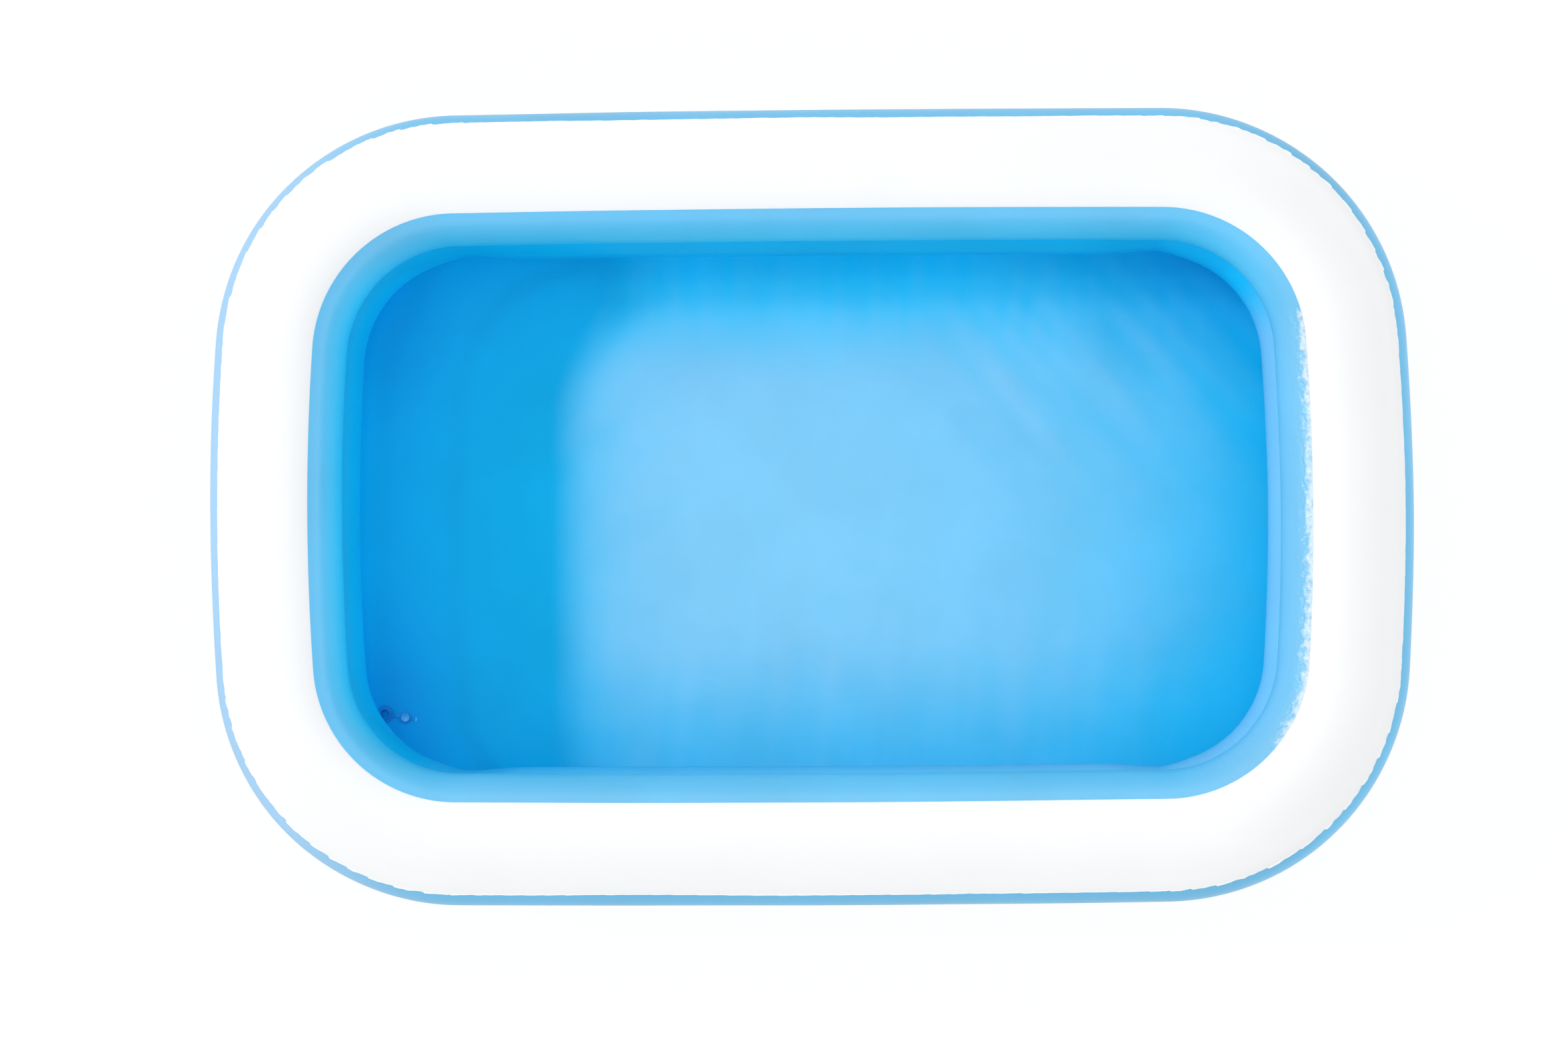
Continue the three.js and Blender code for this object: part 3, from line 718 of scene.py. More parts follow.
# Shares of the floor's slow waves, with their widths along X and Y and their seeds
FLOOR_WAVES = ((0.7, 0.36, 0.3, 1.3), (0.3, 0.15, 0.13, 5.9))
FLAT_BY_WALL = 90 * MM
# The floor lies flat this near to the drain and its plug, and is free from the second distance on
FLAT_BY_DRAIN = (90 * MM, 240 * MM)


def floor_height(context, plan, drain):
    """How high the loose floor sheet stands off the ground in its waves and creases."""
    height = context.wrinkles.floor_crease * max(0.0, creases(plan))
    for share, long, wide, seed in FLOOR_WAVES:
        wave = 0.5 + 0.5 * noise.noise(Vector((plan.x / long, plan.y / wide, seed)))
        height += context.wrinkles.floor_wave * share * wave
    free = ramp((plan - drain).length, *FLAT_BY_DRAIN)
    return height * ramp(inside_foot(context, plan), 0, FLAT_BY_WALL) * free


def floor_tint(context, plan):
    """Colour of the floor at a point, with light and shade painted in: pale in its middle as painted light,
    deep along the walls and in the painted shadow by the drain's end, deepest in two corners as painted
    shade.
    """
    colours, ring = context.colours, context.ring
    near_end = ramp(-plan.x, ring.corner_x, ring.corner_x + 240 * MM)
    side = 0.3 * ring.corner_y
    near_side = ramp(abs(plan.y), side, side + 420 * MM) * (0.55 if plan.y > 0 else 1.0)
    rear = ramp(plan.y, 0, 0.4) * ramp(-plan.x, -0.75, -0.25)
    # Painted shadow: the deep colour inside the edge of the wall's shadow at the drain's end, mixed with the
    # edge colour beyond it, less so in front
    tint = mixed(colours.floor_shaded, colours.floor_edge, outside_painted_shadow(context, plan) * (0.4 + 0.6 * rear))
    # Painted shade in the corners: both corners at the drain's end, more at the front, and the far rear
    # corner
    far_corner = ramp(plan.x, 0.5, 1.0) * ramp(plan.y, 0.2, 0.6)
    tint = mixed(tint, colours.floor_corner_shade, max(near_end * near_side, 0.7 * far_corner))
    # Painted light: the pale colour over the middle of the floor
    pale = painted_light_share(context, plan)
    # Painted light and shade of the creases: paler and deeper streaks along them, where the painted light
    # falls
    streak = 0.55 * (creases(plan) - 0.45) * math.sqrt(max(0.0, pale * (1 - 0.6 * pale)))
    return mixed(tint, colours.floor, limited(pale + streak))


# Edge of the painted shadow at the drain's end, counted in from that end ring's centre line, the width over
# which the floor leaves it, and the radius of its bend at the rear
PALE_START = 569 * MM
PALE_RISE = 110 * MM
PALE_CORNER = 360 * MM
# The edge of the floor's pale part, which is the painted shadow's edge, keeps its bend from here to the rear
# wall
PALE_STRIP = 90 * MM
PAINTED_LIGHT_RISE = 400 * MM


def rising(distance, reach):
    """How far a colour has changed at a distance beyond its line: fast at first, then slower."""
    return 1 - math.exp(-((max(0.0, distance) / reach) ** 1.3))


def outside_painted_shadow(context, plan):
    """0 in the painted shadow that the wall casts on the floor by the drain's end, rising to 1 beyond the
    line across it that is the shadow's edge. The line bends round at the rear."""
    bulge = context.sizes.ground_half + context.ring.lower_radius
    beyond = plan.x + context.ring.half_length - PALE_START
    rear = max(PALE_STRIP, context.ring.half_width - bulge - plan.y)
    if beyond >= PALE_CORNER or rear >= PALE_CORNER:
        return rising(beyond, PALE_RISE)
    bend = PALE_CORNER - math.hypot(PALE_CORNER - beyond, PALE_CORNER - rear)
    return rising(bend, PALE_RISE) / rising(rear, PALE_RISE)


def painted_light_share(context, plan):
    """How much painted light the floor shows, as its paler colour: most right of its middle, least in its
    corners, along the walls and in the painted shadow by the drain's end.
    """
    ring = context.ring
    bulge = context.sizes.ground_half + ring.lower_radius
    side = max(0.0, ring.half_length - bulge - plan.x)
    end = max(0.0, ring.half_width - bulge - abs(plan.y))
    upper = ramp(plan.y, -ring.half_width / 4, ring.half_width / 4)
    near = ramp(-plan.x, -0.95, -0.45)
    deepest = (0.2 + 0.12 * near) * (1 - 0.92 * upper)
    reach = (390 - 90 * max(0.8 * near, upper)) * MM
    cut = (0.35 + 0.5 * upper) * (1 - ramp(side + end, 0.2, 0.6))
    shown = (0.08 + 0.92 * rising(side, PAINTED_LIGHT_RISE)) * outside_painted_shadow(context, plan) * (1 - cut)
    return shown * (deepest + (1 - deepest) * ramp(end, 0, reach))


FLOOR_WELD_FADE = 3 * MM
# The floor's mesh is finer as far as this from the drain
DRAIN_REFINED = 26 * MM


def floor_sheet(context, material, drain_axis):
    """The floor: a cut sheet that lies loose inside the rings and is welded under them."""
    sizes, ring = context.sizes, context.ring
    reach = sizes.corner_radius + sizes.ground_half + sizes.seam
    half_x, half_y = ring.corner_x + reach, ring.corner_y + reach
    columns, rows = math.ceil(2 * half_x / FLOOR_STEP), math.ceil(2 * half_y / FLOOR_STEP)
    between = (drain_axis @ Vector((bpy.context.scene.drain_sizes.reach / 2, 0, 0))).xy
    bm = bmesh.new()
    bmesh.ops.create_grid(bm, x_segments=columns, y_segments=rows, size=1)
    weld = bm.verts.layers.float.new("weld")
    tint = bm.verts.layers.float_color.new("tint")
    for vert in bm.verts:
        plan = floor_plan(context, vert.co.x * half_x, vert.co.y * half_y)
        vert.co = (plan.x, plan.y, sizes.gauge / 2 + floor_height(context, plan, between))
        vert[weld] = 1 - ramp(inside_foot(context, plan), 0, FLOOR_WELD_FADE)
        vert[tint] = (*floor_tint(context, plan), 1)
    opened(bm, drain_axis, bpy.context.scene.drain_sizes.bore_radius, 0.9, DRAIN_REFINED)
    bmesh.ops.recalc_face_normals(bm, faces=bm.faces)
    layer = bm.loops.layers.uv.new("unrolled")
    for face in bm.faces:
        for loop in face.loops:
            loop[layer].uv = loop.vert.co.xy
    return finished("floor", bm, material, sizes.gauge)


# Small moulded shapes, made along a local Z axis

EASE = 0.3 * MM
# A strap's faces lie this far inside the disc that it grows from, so that no two of them share a plane
SUNK = 0.04 * MM
# A strap or tab starts this far inside its disc's rim
ROOT_DEPTH = 2 * MM
TAB_THICKNESS = 1 * MM
# How much of the painted light through thin walls the tab gets, where 1 is as much as the pin's wall
TAB_PAINTED_GLOW = 0.7
RIDGE_WIDTH = 6.4 * MM
RIDGE_SECTION = ((-0.3 * MM, 0), (0.3 * MM, 0), (0.2 * MM, 0.3 * MM), (-0.2 * MM, 0.3 * MM))
RIDGE_SHARES = (0.3, 0.55, 0.8)


def eased(outline, steps=4):
    """A closed outline of (along, height, ease) with each corner rounded by its ease."""
    points = []
    for index, (x, y, ease) in enumerate(outline):
        corner = Vector((x, y))
        if ease <= 0:
            points.append(corner)
            continue
        sides = [Vector(outline[other % len(outline)][:2]) - corner for other in (index - 1, index + 1)]
        start, end = [corner + side.normalized() * min(ease, side.length * 0.45) for side in sides]
        for step in range(steps + 1):
            share = step / steps
            points.append(start.lerp(corner, share).lerp(corner.lerp(end, share), share))
    return points


def made_since(bm, old):
    """The points made since the old ones were noted, with their faces turned outward."""
    made = [vert for vert in bm.verts if vert not in old]
    bmesh.ops.recalc_face_normals(bm, faces=once(face for vert in made for face in vert.link_faces))
    return made


def turned(bm, outline, steps=72):
    """A closed outline of (radius, height, ease) turned round the Z axis."""
    old = set(bm.verts)
    verts = [bm.verts.new((max(0.0, point.x), 0, point.y)) for point in eased(outline)]
    pairs = zip(verts, verts[1:] + verts[:1])
    edges = [bm.edges.new(pair) for pair in pairs if max(pair[0].co.x, pair[1].co.x) > NONE]
    bmesh.ops.spin(
        bm, geom=verts + edges, cent=(0, 0, 0), axis=(0, 0, 1), angle=2 * math.pi,
        steps=steps, use_merge=True, use_duplicate=False,
    )
    bmesh.ops.remove_doubles(bm, verts=made_since(bm, old), dist=MERGED)
    return made_since(bm, old)


def slab(bm, outline, move, ease, level_only=False):
    """A prism: an outline drawn out by a move, with its edges rounded, or only its level ones."""
    old = set(bm.verts)
    face = bm.faces.new([bm.verts.new(point) for point in outline])
    grown = bmesh.ops.extrude_face_region(bm, geom=[face])["geom"]
    moved = [part for part in grown if isinstance(part, bmesh.types.BMVert)]
    bmesh.ops.translate(bm, verts=moved, vec=move)
    edges = once(edge for vert in made_since(bm, old) for edge in vert.link_edges)
    if level_only:
        edges = [edge for edge in edges if abs(edge.verts[0].co.z - edge.verts[1].co.z) < NONE]
    bmesh.ops.bevel(
        bm, geom=edges, offset=ease, affect="EDGES", segments=3, profile=0.5, material=-1, clamp_overlap=True
    )
    return [vert for vert in bm.verts if vert not in old]


def bar(bm, start, end, width, ease):
    """A bar of constant width across Y, between two ends given as (x, foot, head)."""
    points = ((start[0], start[1]), (end[0], end[1]), (end[0], end[2]), (start[0], start[2]))
    return slab(bm, [(x, -width / 2, z) for x, z in points], (0, width, 0), ease)


def groove(radius, top, start, slope, flat, depth, ease):
    """Outline points of a shallow groove in a disc's face, from its outer side inward."""
    across = (start, start + slope, start + slope + flat, start + 2 * slope + flat)
    return [(radius - x, top - y, ease) for x, y in zip(across, (0, depth, depth, 0))]


def hinge_frame(hinge, z_axis, reach, sign=1):
    """A frame whose Y axis runs along a hinge, and whose X axis meets it at this reach."""
    y_axis = sign * Vector(hinge["axis"]).normalized()
    x_axis = y_axis.cross(z_axis).normalized()
    matrix = Matrix((x_axis, y_axis, z_axis)).transposed().to_4x4()
    matrix.translation = Vector(hinge["pos_m"]) - x_axis * reach
    return matrix


def drain_frame():
    """The drain's own frame, read from its plug's hinge: Z up and X towards the open plug."""
    sizes = bpy.context.scene.drain_sizes
    matrix = hinge_frame(JOINTS["drain_plug_swing"], Vector((0, 0, 1)), sizes.reach / 2, -1)
    matrix.translation.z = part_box("drain_plug")[0].z - sizes.clearance
    return matrix


def valve_levels(sizes):
    """Heights of a valve's pieces along its axis, counted from the outside of the wall."""
    levels = SimpleNamespace(flange_foot=sizes.clearance)
    levels.flange_top = levels.flange_foot + sizes.flange_thickness
    levels.rim_foot = levels.flange_top + sizes.clearance
    levels.rim_top = levels.rim_foot + sizes.rim_thickness
    levels.cap_foot = levels.rim_top + sizes.clearance
    levels.cap_top = levels.cap_foot + sizes.cap_thickness
    levels.flap_top = -sizes.inner_length - sizes.clearance
    return levels


def valve_frame(ring_name):
    """A valve's own frame, read from its joints: Z out of the wall and X down along it."""
    sizes = bpy.context.scene.valve_sizes
    levels = valve_levels(sizes)
    z_axis = Vector(JOINTS[f"{ring_name}_stem_slide"]["axis"]).normalized()
    matrix = hinge_frame(JOINTS[f"{ring_name}_cap_hinge"], z_axis, sizes.cap_hinge)
    matrix.translation -= z_axis * (levels.rim_top + levels.cap_foot) / 2
    return matrix


def strap_head(sizes):
    """Height of the drain strap's top at its hinge, halfway between the raised ring and the open plug."""
    return sizes.clearance + (sizes.boss_height + sizes.disc_thickness) / 2


def drain_socket(bm, sizes):
    foot = sizes.clearance
    flange_top, boss_top = foot + sizes.flange_thickness, foot + sizes.boss_height
    bore, boss, rim = sizes.bore_radius, sizes.bore_radius + sizes.boss_wall, sizes.flange_radius
    turned(bm, [
        (bore, foot, 0),
        (rim, foot, EASE / 2),
        (rim, flange_top, EASE * 2),
        *groove(rim, flange_top, 2.2 * MM, 0.4 * MM, 0.8 * MM, 0.35 * MM, EASE),
        (boss, flange_top, EASE * 2),
        (boss, boss_top, EASE * 2),
        (bore, boss_top, EASE * 2),
    ])
    root = (rim - ROOT_DEPTH, flange_top - sizes.strap_thickness, flange_top - SUNK)
    head = strap_head(sizes)
    end = ((sizes.reach - sizes.clearance) / 2, head - sizes.strap_thickness, head)
    bar(bm, root, end, sizes.strap_width, EASE * 0.7)


def pull_tab(bm, sizes, end, low, high):
    """The plug's flat tab: a neck that widens into a rounded end."""
    step = end - sizes.tab_length
    neck, wide = sizes.neck_width, sizes.tab_width
    side = [
        (sizes.reach + sizes.disc_radius - ROOT_DEPTH, neck / 2, 0),
        (step, neck / 2, neck / 3),
        (step, wide / 2, wide / 4),
        (end, wide / 2, wide / 4),
    ]
    outline = eased([(x, -y, ease) for x, y, ease in side] + side[::-1])
    slab(bm, [(point.x, point.y, low) for point in outline], (0, 0, high - low), EASE * 0.8, True)


def drain_plug(bm, sizes):
    low = sizes.clearance
    disc_top = low + sizes.disc_thickness
    pin_top = disc_top + sizes.pin_length
    pin = sizes.bore_radius - sizes.clearance
    tip = pin - sizes.pin_taper
    thin = bm.verts.layers.float.new("thin")
    disc = turned(bm, [
        (0, low, 0),
        (sizes.disc_radius, low, EASE),
        (sizes.disc_radius, disc_top, EASE * 2),
        (pin, disc_top, EASE),
        (tip, pin_top, EASE * 1.5),
        (tip - sizes.pin_wall, pin_top, EASE * 1.5),
        (tip - sizes.pin_wall, disc_top, EASE),
        (0, disc_top, 0),
    ])
    bmesh.ops.translate(bm, verts=disc, vec=(sizes.reach, 0, 0))
    head = strap_head(sizes)
    start = ((sizes.reach + sizes.clearance) / 2, head - sizes.strap_thickness, head)
    root = sizes.reach - sizes.disc_radius + ROOT_DEPTH
    bar(bm, start, (root, disc_top - sizes.strap_thickness, disc_top - SUNK), sizes.strap_width, EASE * 0.7)
    end = sizes.reach + sizes.tab_reach
    pull_tab(bm, sizes, end, low + SUNK, low + TAB_THICKNESS)
    outline = [(x, -RIDGE_WIDTH / 2, z) for x, z in RIDGE_SECTION]
    for share in RIDGE_SHARES:
        ridge = slab(bm, outline, (0, RIDGE_WIDTH, 0), EASE / 4)
        place = (end - sizes.tab_length * (1 - share), 0, low + 0.98 * TAB_THICKNESS)
        bmesh.ops.translate(bm, verts=ridge, vec=place)
    # Painted light: the pin's thin wall and the tab are marked to take a paler colour, as light shining
    # through them
    for vert in bm.verts:
        in_pin = math.hypot(vert.co.x - sizes.reach, vert.co.y) < tip and vert.co.z > low + EASE
        in_tab = vert.co.x > end - sizes.tab_length
        vert[thin] = 1.0 if in_pin else TAB_PAINTED_GLOW if in_tab else 0.0


def valve_base(bm, sizes):
    levels = valve_levels(sizes)
    foot, top = levels.flange_foot, levels.flange_top
    bore, outside, rim = sizes.sleeve_bore, sizes.sleeve_bore + sizes.sleeve_wall, sizes.flange_radius
    turned(bm, [
        (bore, -sizes.sleeve_depth, EASE),
        (outside, -sizes.sleeve_depth, EASE),
        (outside, foot, EASE),
        (rim, foot, EASE / 2),
        (rim, foot + 0.4 * MM, EASE / 2),
        (rim - 1.2 * MM, top, EASE),
        *groove(rim, top, 2.6 * MM, 0.3 * MM, 0.6 * MM, 0.3 * MM, EASE / 2),
        (bore, top, EASE),
    ])


def valve_stem(bm, sizes):
    levels = valve_levels(sizes)
    tube = sizes.sleeve_bore - sizes.clearance
    turned(bm, [
        (sizes.stem_bore, -sizes.inner_length, EASE),
        (tube, -sizes.inner_length, EASE * 2),
        (tube, levels.rim_foot, 0),
        (sizes.rim_radius, levels.rim_foot, EASE),
        (sizes.rim_radius, levels.rim_top, EASE * 1.5),
        (sizes.stem_bore, levels.rim_top, EASE * 2),
    ])
    height = (levels.rim_foot + SUNK, levels.rim_top - SUNK)
    bar(bm, (tube, *height), (sizes.cap_hinge, *height), sizes.cap_strap, EASE * 0.7)


def valve_flap(bm, sizes):
    top = valve_levels(sizes).flap_top
    low = top - sizes.flap_thickness
    rim, height = sizes.flap_radius, (low + SUNK, top - SUNK)
    turned(bm, [(0, low, 0), (rim, low, EASE / 2), (rim, top, EASE / 2), (0, top, 0)])
    bar(bm, (0, *height), (sizes.flap_hinge, *height), sizes.flap_lug, EASE / 2)


def valve_cap(bm, sizes):
    levels = valve_levels(sizes)
    foot, top = levels.cap_foot, levels.cap_top
    plug_end = foot - sizes.plug_length
    rim, dish = sizes.cap_radius - 1.4 * MM, 0.3 * MM
    turned(bm, [
        (0, plug_end, 0),
        (sizes.plug_radius - sizes.plug_taper, plug_end, EASE * 2),
        (sizes.plug_radius, foot, EASE),
        (sizes.cap_radius, foot, EASE),
        (sizes.cap_radius, top, EASE * 1.5),
        (rim, top, EASE),
        (rim - 0.5 * MM, top - dish, EASE),
        (0, top - dish, 0),
    ])
    height = (foot + SUNK, top - SUNK)
    bar(bm, (rim, *height), (sizes.cap_hinge, *height), sizes.cap_strap, EASE * 0.7)
    bar(bm, (-sizes.cap_tab, *height), (-rim, *height), sizes.cap_strap, EASE)


def moulded(name, make, sizes, matrix, material, body, slot, node):
    """Makes a moulded piece in its own frame, in the place of the node that it stands for."""
    bm = bmesh.new()
    make(bm, sizes)
    bmesh.ops.transform(bm, matrix=matrix, verts=bm.verts)
    dressed(finished(name, bm, material), body, slot, node)


# Materials


def add(tree, kind, links=None, **settings):
    """Adds a shader node of a kind with its settings. links maps an input's name or number to a value, to an
    output, or to a node, which stands for its first output."""
    node = tree.nodes.new("ShaderNode" + kind)
    for name, value in settings.items():
        setattr(node, name, value)
    for name, value in (links or {}).items():
        source = value.outputs[0] if isinstance(value, bpy.types.Node) else value
        if isinstance(source, bpy.types.NodeSocket):
            tree.links.new(source, node.inputs[name])
        else:
            node.inputs[name].default_value = source
    return node


def material_tree(name):
    material = bpy.data.materials.new(name)
    material.use_nodes = True
    material.node_tree.nodes.clear()
    return material, material.node_tree


def rgba(values):
    return (*values, 1.0)


PVC_IOR = 1.53
GRAIN_DEPTH = 0.05 * MM
CLOUD_SIZE = 240 * MM
SHEET_GRAIN = 2.2 * MM
RIB_SPACING = 2.4 * MM
RIB_DEPTH = 0.15 * MM
CRINKLE_SIZE = 15 * MM
CRINKLE_HEIGHT = 11 * MM
CRINKLE_SINK = 1.0
# Painted glints: how the crinkles are painted white where the wall catches the key light, as the spread of
# their noise and the range it fades over
GLINT_SPREAD = 1.5
GLINT_RANGE = (1.15, 1.75)
MOULD_GRAIN = 0.5 * MM
FLOW_SIZE = 9 * MM
FLOW_SHADES = (0.93, 1.03)


def skin(tree, body, mottle, shades, look):
    """The surface of plasticised PVC: its colour, a little darker or lighter in slow patches, under a skin
    that mirrors as PVC does."""
    shade = {"Value": mottle, "From Min": 0.3, "From Max": 0.7, "To Min": shades[0], "To Max": shades[1]}
    shown = add(tree, "HueSaturation", {"Color": body, "Value": add(tree, "MapRange", shade)})
    return add(tree, "BsdfPrincipled", {"Base Color": shown, "IOR": PVC_IOR, **look})


def vinyl(name, roughness, gloss=0.5, cloud=0.06, film=None, glow=None, scatter=0.3, glint_colour=None):
    """Calendered PVC sheet, blown up tight. It gives the eye a soft gloss broken by a faint roller grain,
    thin clouds in a colour, with light and shade painted in, that its tint attribute carries, and fine ribs
    pressed into its welds. film is the colour of the light that passes one of its faces and glow of the light
    that it scatters onward, for a sheet with air behind it. frost is the white of the painted glints on the
    crinkles under the far weld."""
    material, tree = material_tree(name)
    place = add(tree, "TexCoord").outputs["Object"]
    body = add(tree, "Attribute", attribute_name="tint").outputs["Color"]
    crinkle_and_glint = add(tree, "Attribute", attribute_name="crinkle_and_glint").outputs["Fac"]
    weld = add(tree, "Attribute", attribute_name="weld").outputs["Fac"]
    clouds = add(tree, "TexNoise", {"Vector": place, "Scale": 1 / CLOUD_SIZE, "Detail": 5.0})
    grain = add(tree, "TexNoise", {"Vector": place, "Scale": 1 / SHEET_GRAIN, "Detail": 1.0})
    crinkles = add(tree, "TexNoise", {"Vector": place, "Scale": 1 / CRINKLE_SIZE, "Detail": 3.0})
    # Painted glints: patches of white over the crinkles under the far weld, where the key light would glint
    if glint_colour:
        spread = add(tree, "Math", {0: crinkles, 1: GLINT_SPREAD, 2: crinkle_and_glint}, operation="MULTIPLY_ADD")
        fade = {"Value": spread, "From Min": GLINT_RANGE[0], "From Max": GLINT_RANGE[1]}
        painted_glints = add(tree, "MapRange", fade, interpolation_type="SMOOTHSTEP")
        body = add(tree, "Mix", {"Factor": painted_glints, 6: body, 7: rgba(glint_colour)}, data_type="RGBA").outputs[2]
    fine = add(tree, "Bump", {"Strength": 0.15, "Distance": GRAIN_DEPTH, "Height": grain})
    sunk = add(tree, "Math", {0: crinkles, 1: CRINKLE_SINK}, operation="SUBTRACT")
    height = add(tree, "Math", {0: sunk, 1: crinkle_and_glint}, operation="MULTIPLY")
    rough = {"Strength": 1.0, "Distance": CRINKLE_HEIGHT, "Height": height, "Normal": fine}
    crinkled = add(tree, "Bump", rough)
    bands = {"Vector": add(tree, "UVMap", uv_map="unrolled"), "Scale": math.pi / 10 / RIB_SPACING}
    ribs = add(tree, "TexWave", bands, wave_type="BANDS", bands_direction="X").outputs["Fac"]
    pressed = add(tree, "Math", {0: ribs, 1: weld}, operation="MULTIPLY")
    ribbed = {"Strength": 0.5, "Distance": RIB_DEPTH, "Height": pressed, "Normal": crinkled}
    look = {"Roughness": roughness, "Specular IOR Level": gloss, "Normal": add(tree, "Bump", ribbed)}
    surface = skin(tree, body, clouds, (1 - cloud, 1 + cloud / 3), look)
    if film:
        lit = add(tree, "BsdfTranslucent", {"Color": rgba(glow)})
        surface = add(tree, "MixShader", {0: scatter, 1: surface, 2: lit})
        shadow = add(tree, "LightPath").outputs["Is Shadow Ray"]
        clear = add(tree, "BsdfTransparent", {"Color": rgba(film)})
        surface = add(tree, "MixShader", {0: shadow, 1: surface, 2: clear})
    add(tree, "OutputMaterial", {"Surface": surface})
    return material


def moulded_plastic(name, base, roughness, gloss=0.5, thin=None):
    """Soft PVC moulding. It gives the eye an even colour with faint flow marks and a satin skin from the
    mould's fine grain. thin is a paler colour painted on thin walls, as painted light shining through them."""
    material, tree = material_tree(name)
    place = add(tree, "TexCoord").outputs["Object"]
    grain = add(tree, "TexNoise", {"Vector": place, "Scale": 1 / MOULD_GRAIN, "Detail": 2.0})
    flow = add(tree, "TexNoise", {"Vector": place, "Scale": 1 / FLOW_SIZE, "Detail": 2.0})
    body = rgba(base)
    # Painted light on thin walls, as light shining through them
    if thin:
        share = add(tree, "Attribute", attribute_name="thin").outputs["Fac"]
        body = add(tree, "Mix", {"Factor": share, 6: body, 7: rgba(thin)}, data_type="RGBA").outputs[2]
    bump = add(tree, "Bump", {"Strength": 0.25, "Distance": GRAIN_DEPTH, "Height": grain})
    look = {"Roughness": roughness, "Specular IOR Level": gloss, "Normal": bump}
    add(tree, "OutputMaterial", {"Surface": skin(tree, body, flow, FLOW_SHADES, look)})
    return material


# Stage

WHITE = (1, 1, 1, 1)
GROUND_HALF = 60.0
GROUND_DROP = 0.2 * MM
# The ground's share of plain white where it is seen as background
GROUND_WHITE = 0.96
# The ground is painted dark, as shade, in the drain's colour as far as this from the drain's middle
DRAIN_SHADE = 60 * MM
# Heights, as sines, between which the low light fades into the overhead light
LOW_LIGHT = (0.04, 0.3)
FILL_SIDE = (1.0, -0.1, 0.0)
KEY_DIRECTION = Vector((1.09, -0.28, -1.0))
CAMERA_PLACE = (0.2195, -0.3467, 10.047)
CAMERA_TURN = (1.84, 1.643, -0.356)


def studio_floor(colours):
    """White paper, lit softly. Rays from the camera, in a reflection or through clear plastic see it as a
    plain background, except close under the drain, where it is painted dark as the shade that the drain's
    bore looks down on."""
    material, tree = material_tree("paper_studio_floor")
    place = add(tree, "TexCoord").outputs["Object"]
    drain = (*drain_frame().translation.xy, 0.0)
    away = add(tree, "VectorMath", {0: place, 1: drain}, operation="DISTANCE").outputs["Value"]
    outside = add(tree, "Math", {0: away, 1: DRAIN_SHADE}, operation="GREATER_THAN")
    # Painted shade: close under the drain the ground takes the drain's colour
    shades = {"Factor": outside, 6: rgba(colours.drain), 7: rgba(colours.ground)}
    tint = add(tree, "Mix", shades, data_type="RGBA").outputs[2]
    diffuse = add(tree, "BsdfDiffuse", {"Color": tint})
    white = add(tree, "Emission", {"Color": WHITE, "Strength": 1.0})
    rays = add(tree, "LightPath").outputs
    seen = rays["Is Camera Ray"]
    for kind in ("Is Glossy Ray", "Is Transmission Ray"):
        seen = add(tree, "Math", {0: seen, 1: rays[kind]}, operation="MAXIMUM").outputs[0]
    for share in (outside, GROUND_WHITE):
        seen = add(tree, "Math", {0: seen, 1: share}, operation="MULTIPLY").outputs[0]
    add(tree, "OutputMaterial", {"Surface": add(tree, "MixShader", {0: seen, 1: diffuse, 2: white})})
    return material


def studio_world(stage):
    """Soft white light from overhead, with low light that is stronger on one side. The camera sees white."""
    world = bpy.data.worlds.new("studio")
    world.use_nodes = True
    tree = world.node_tree
    tree.nodes.clear()
    direction = add(tree, "TexCoord").outputs["Generated"]
    side = add(tree, "VectorMath", {0: direction, 1: FILL_SIDE}, operation="DOT_PRODUCT").outputs["Value"]
    around = {"Value": side, "From Min": -1.0, "From Max": 1.0, "To Min": stage.rim, "To Max": stage.fill}
    up = {
        "Value": add(tree, "SeparateXYZ", {0: direction}).outputs["Z"],
        "From Min": LOW_LIGHT[0],
        "From Max": LOW_LIGHT[1],
        "To Min": add(tree, "MapRange", around),
        "To Max": stage.overhead,
    }
    strength = add(tree, "MapRange", up, interpolation_type="SMOOTHSTEP")
    light = add(tree, "Background", {"Color": WHITE, "Strength": strength})
    backdrop = add(tree, "Background", {"Color": WHITE, "Strength": 1.0})
    seen = add(tree, "LightPath").outputs["Is Camera Ray"]
    add(tree, "OutputWorld", {"Surface": add(tree, "MixShader", {0: seen, 1: light, 2: backdrop})})
    return world


def placed(name, data, location, turn):
    item = bpy.data.objects.new(name, data)
    item.location = location
    item.rotation_euler = turn
    bpy.context.scene.collection.objects.link(item)
    return item


# Operators


class POOL_OT_floor(Operator):
    """Makes the floor sheet with its waves, creases and drain hole"""

    bl_idname = "pool.floor"
    bl_label = "Floor Sheet"

    def execute(self, context):
        parts = build_context()
        piece = floor_sheet(parts, vinyl("pvc_sheet_floor_calendered", 0.36, gloss=0.08), drain_frame())
        dressed(piece, "pool", "floor_vinyl", "floor_sheet")
        return {"FINISHED"}


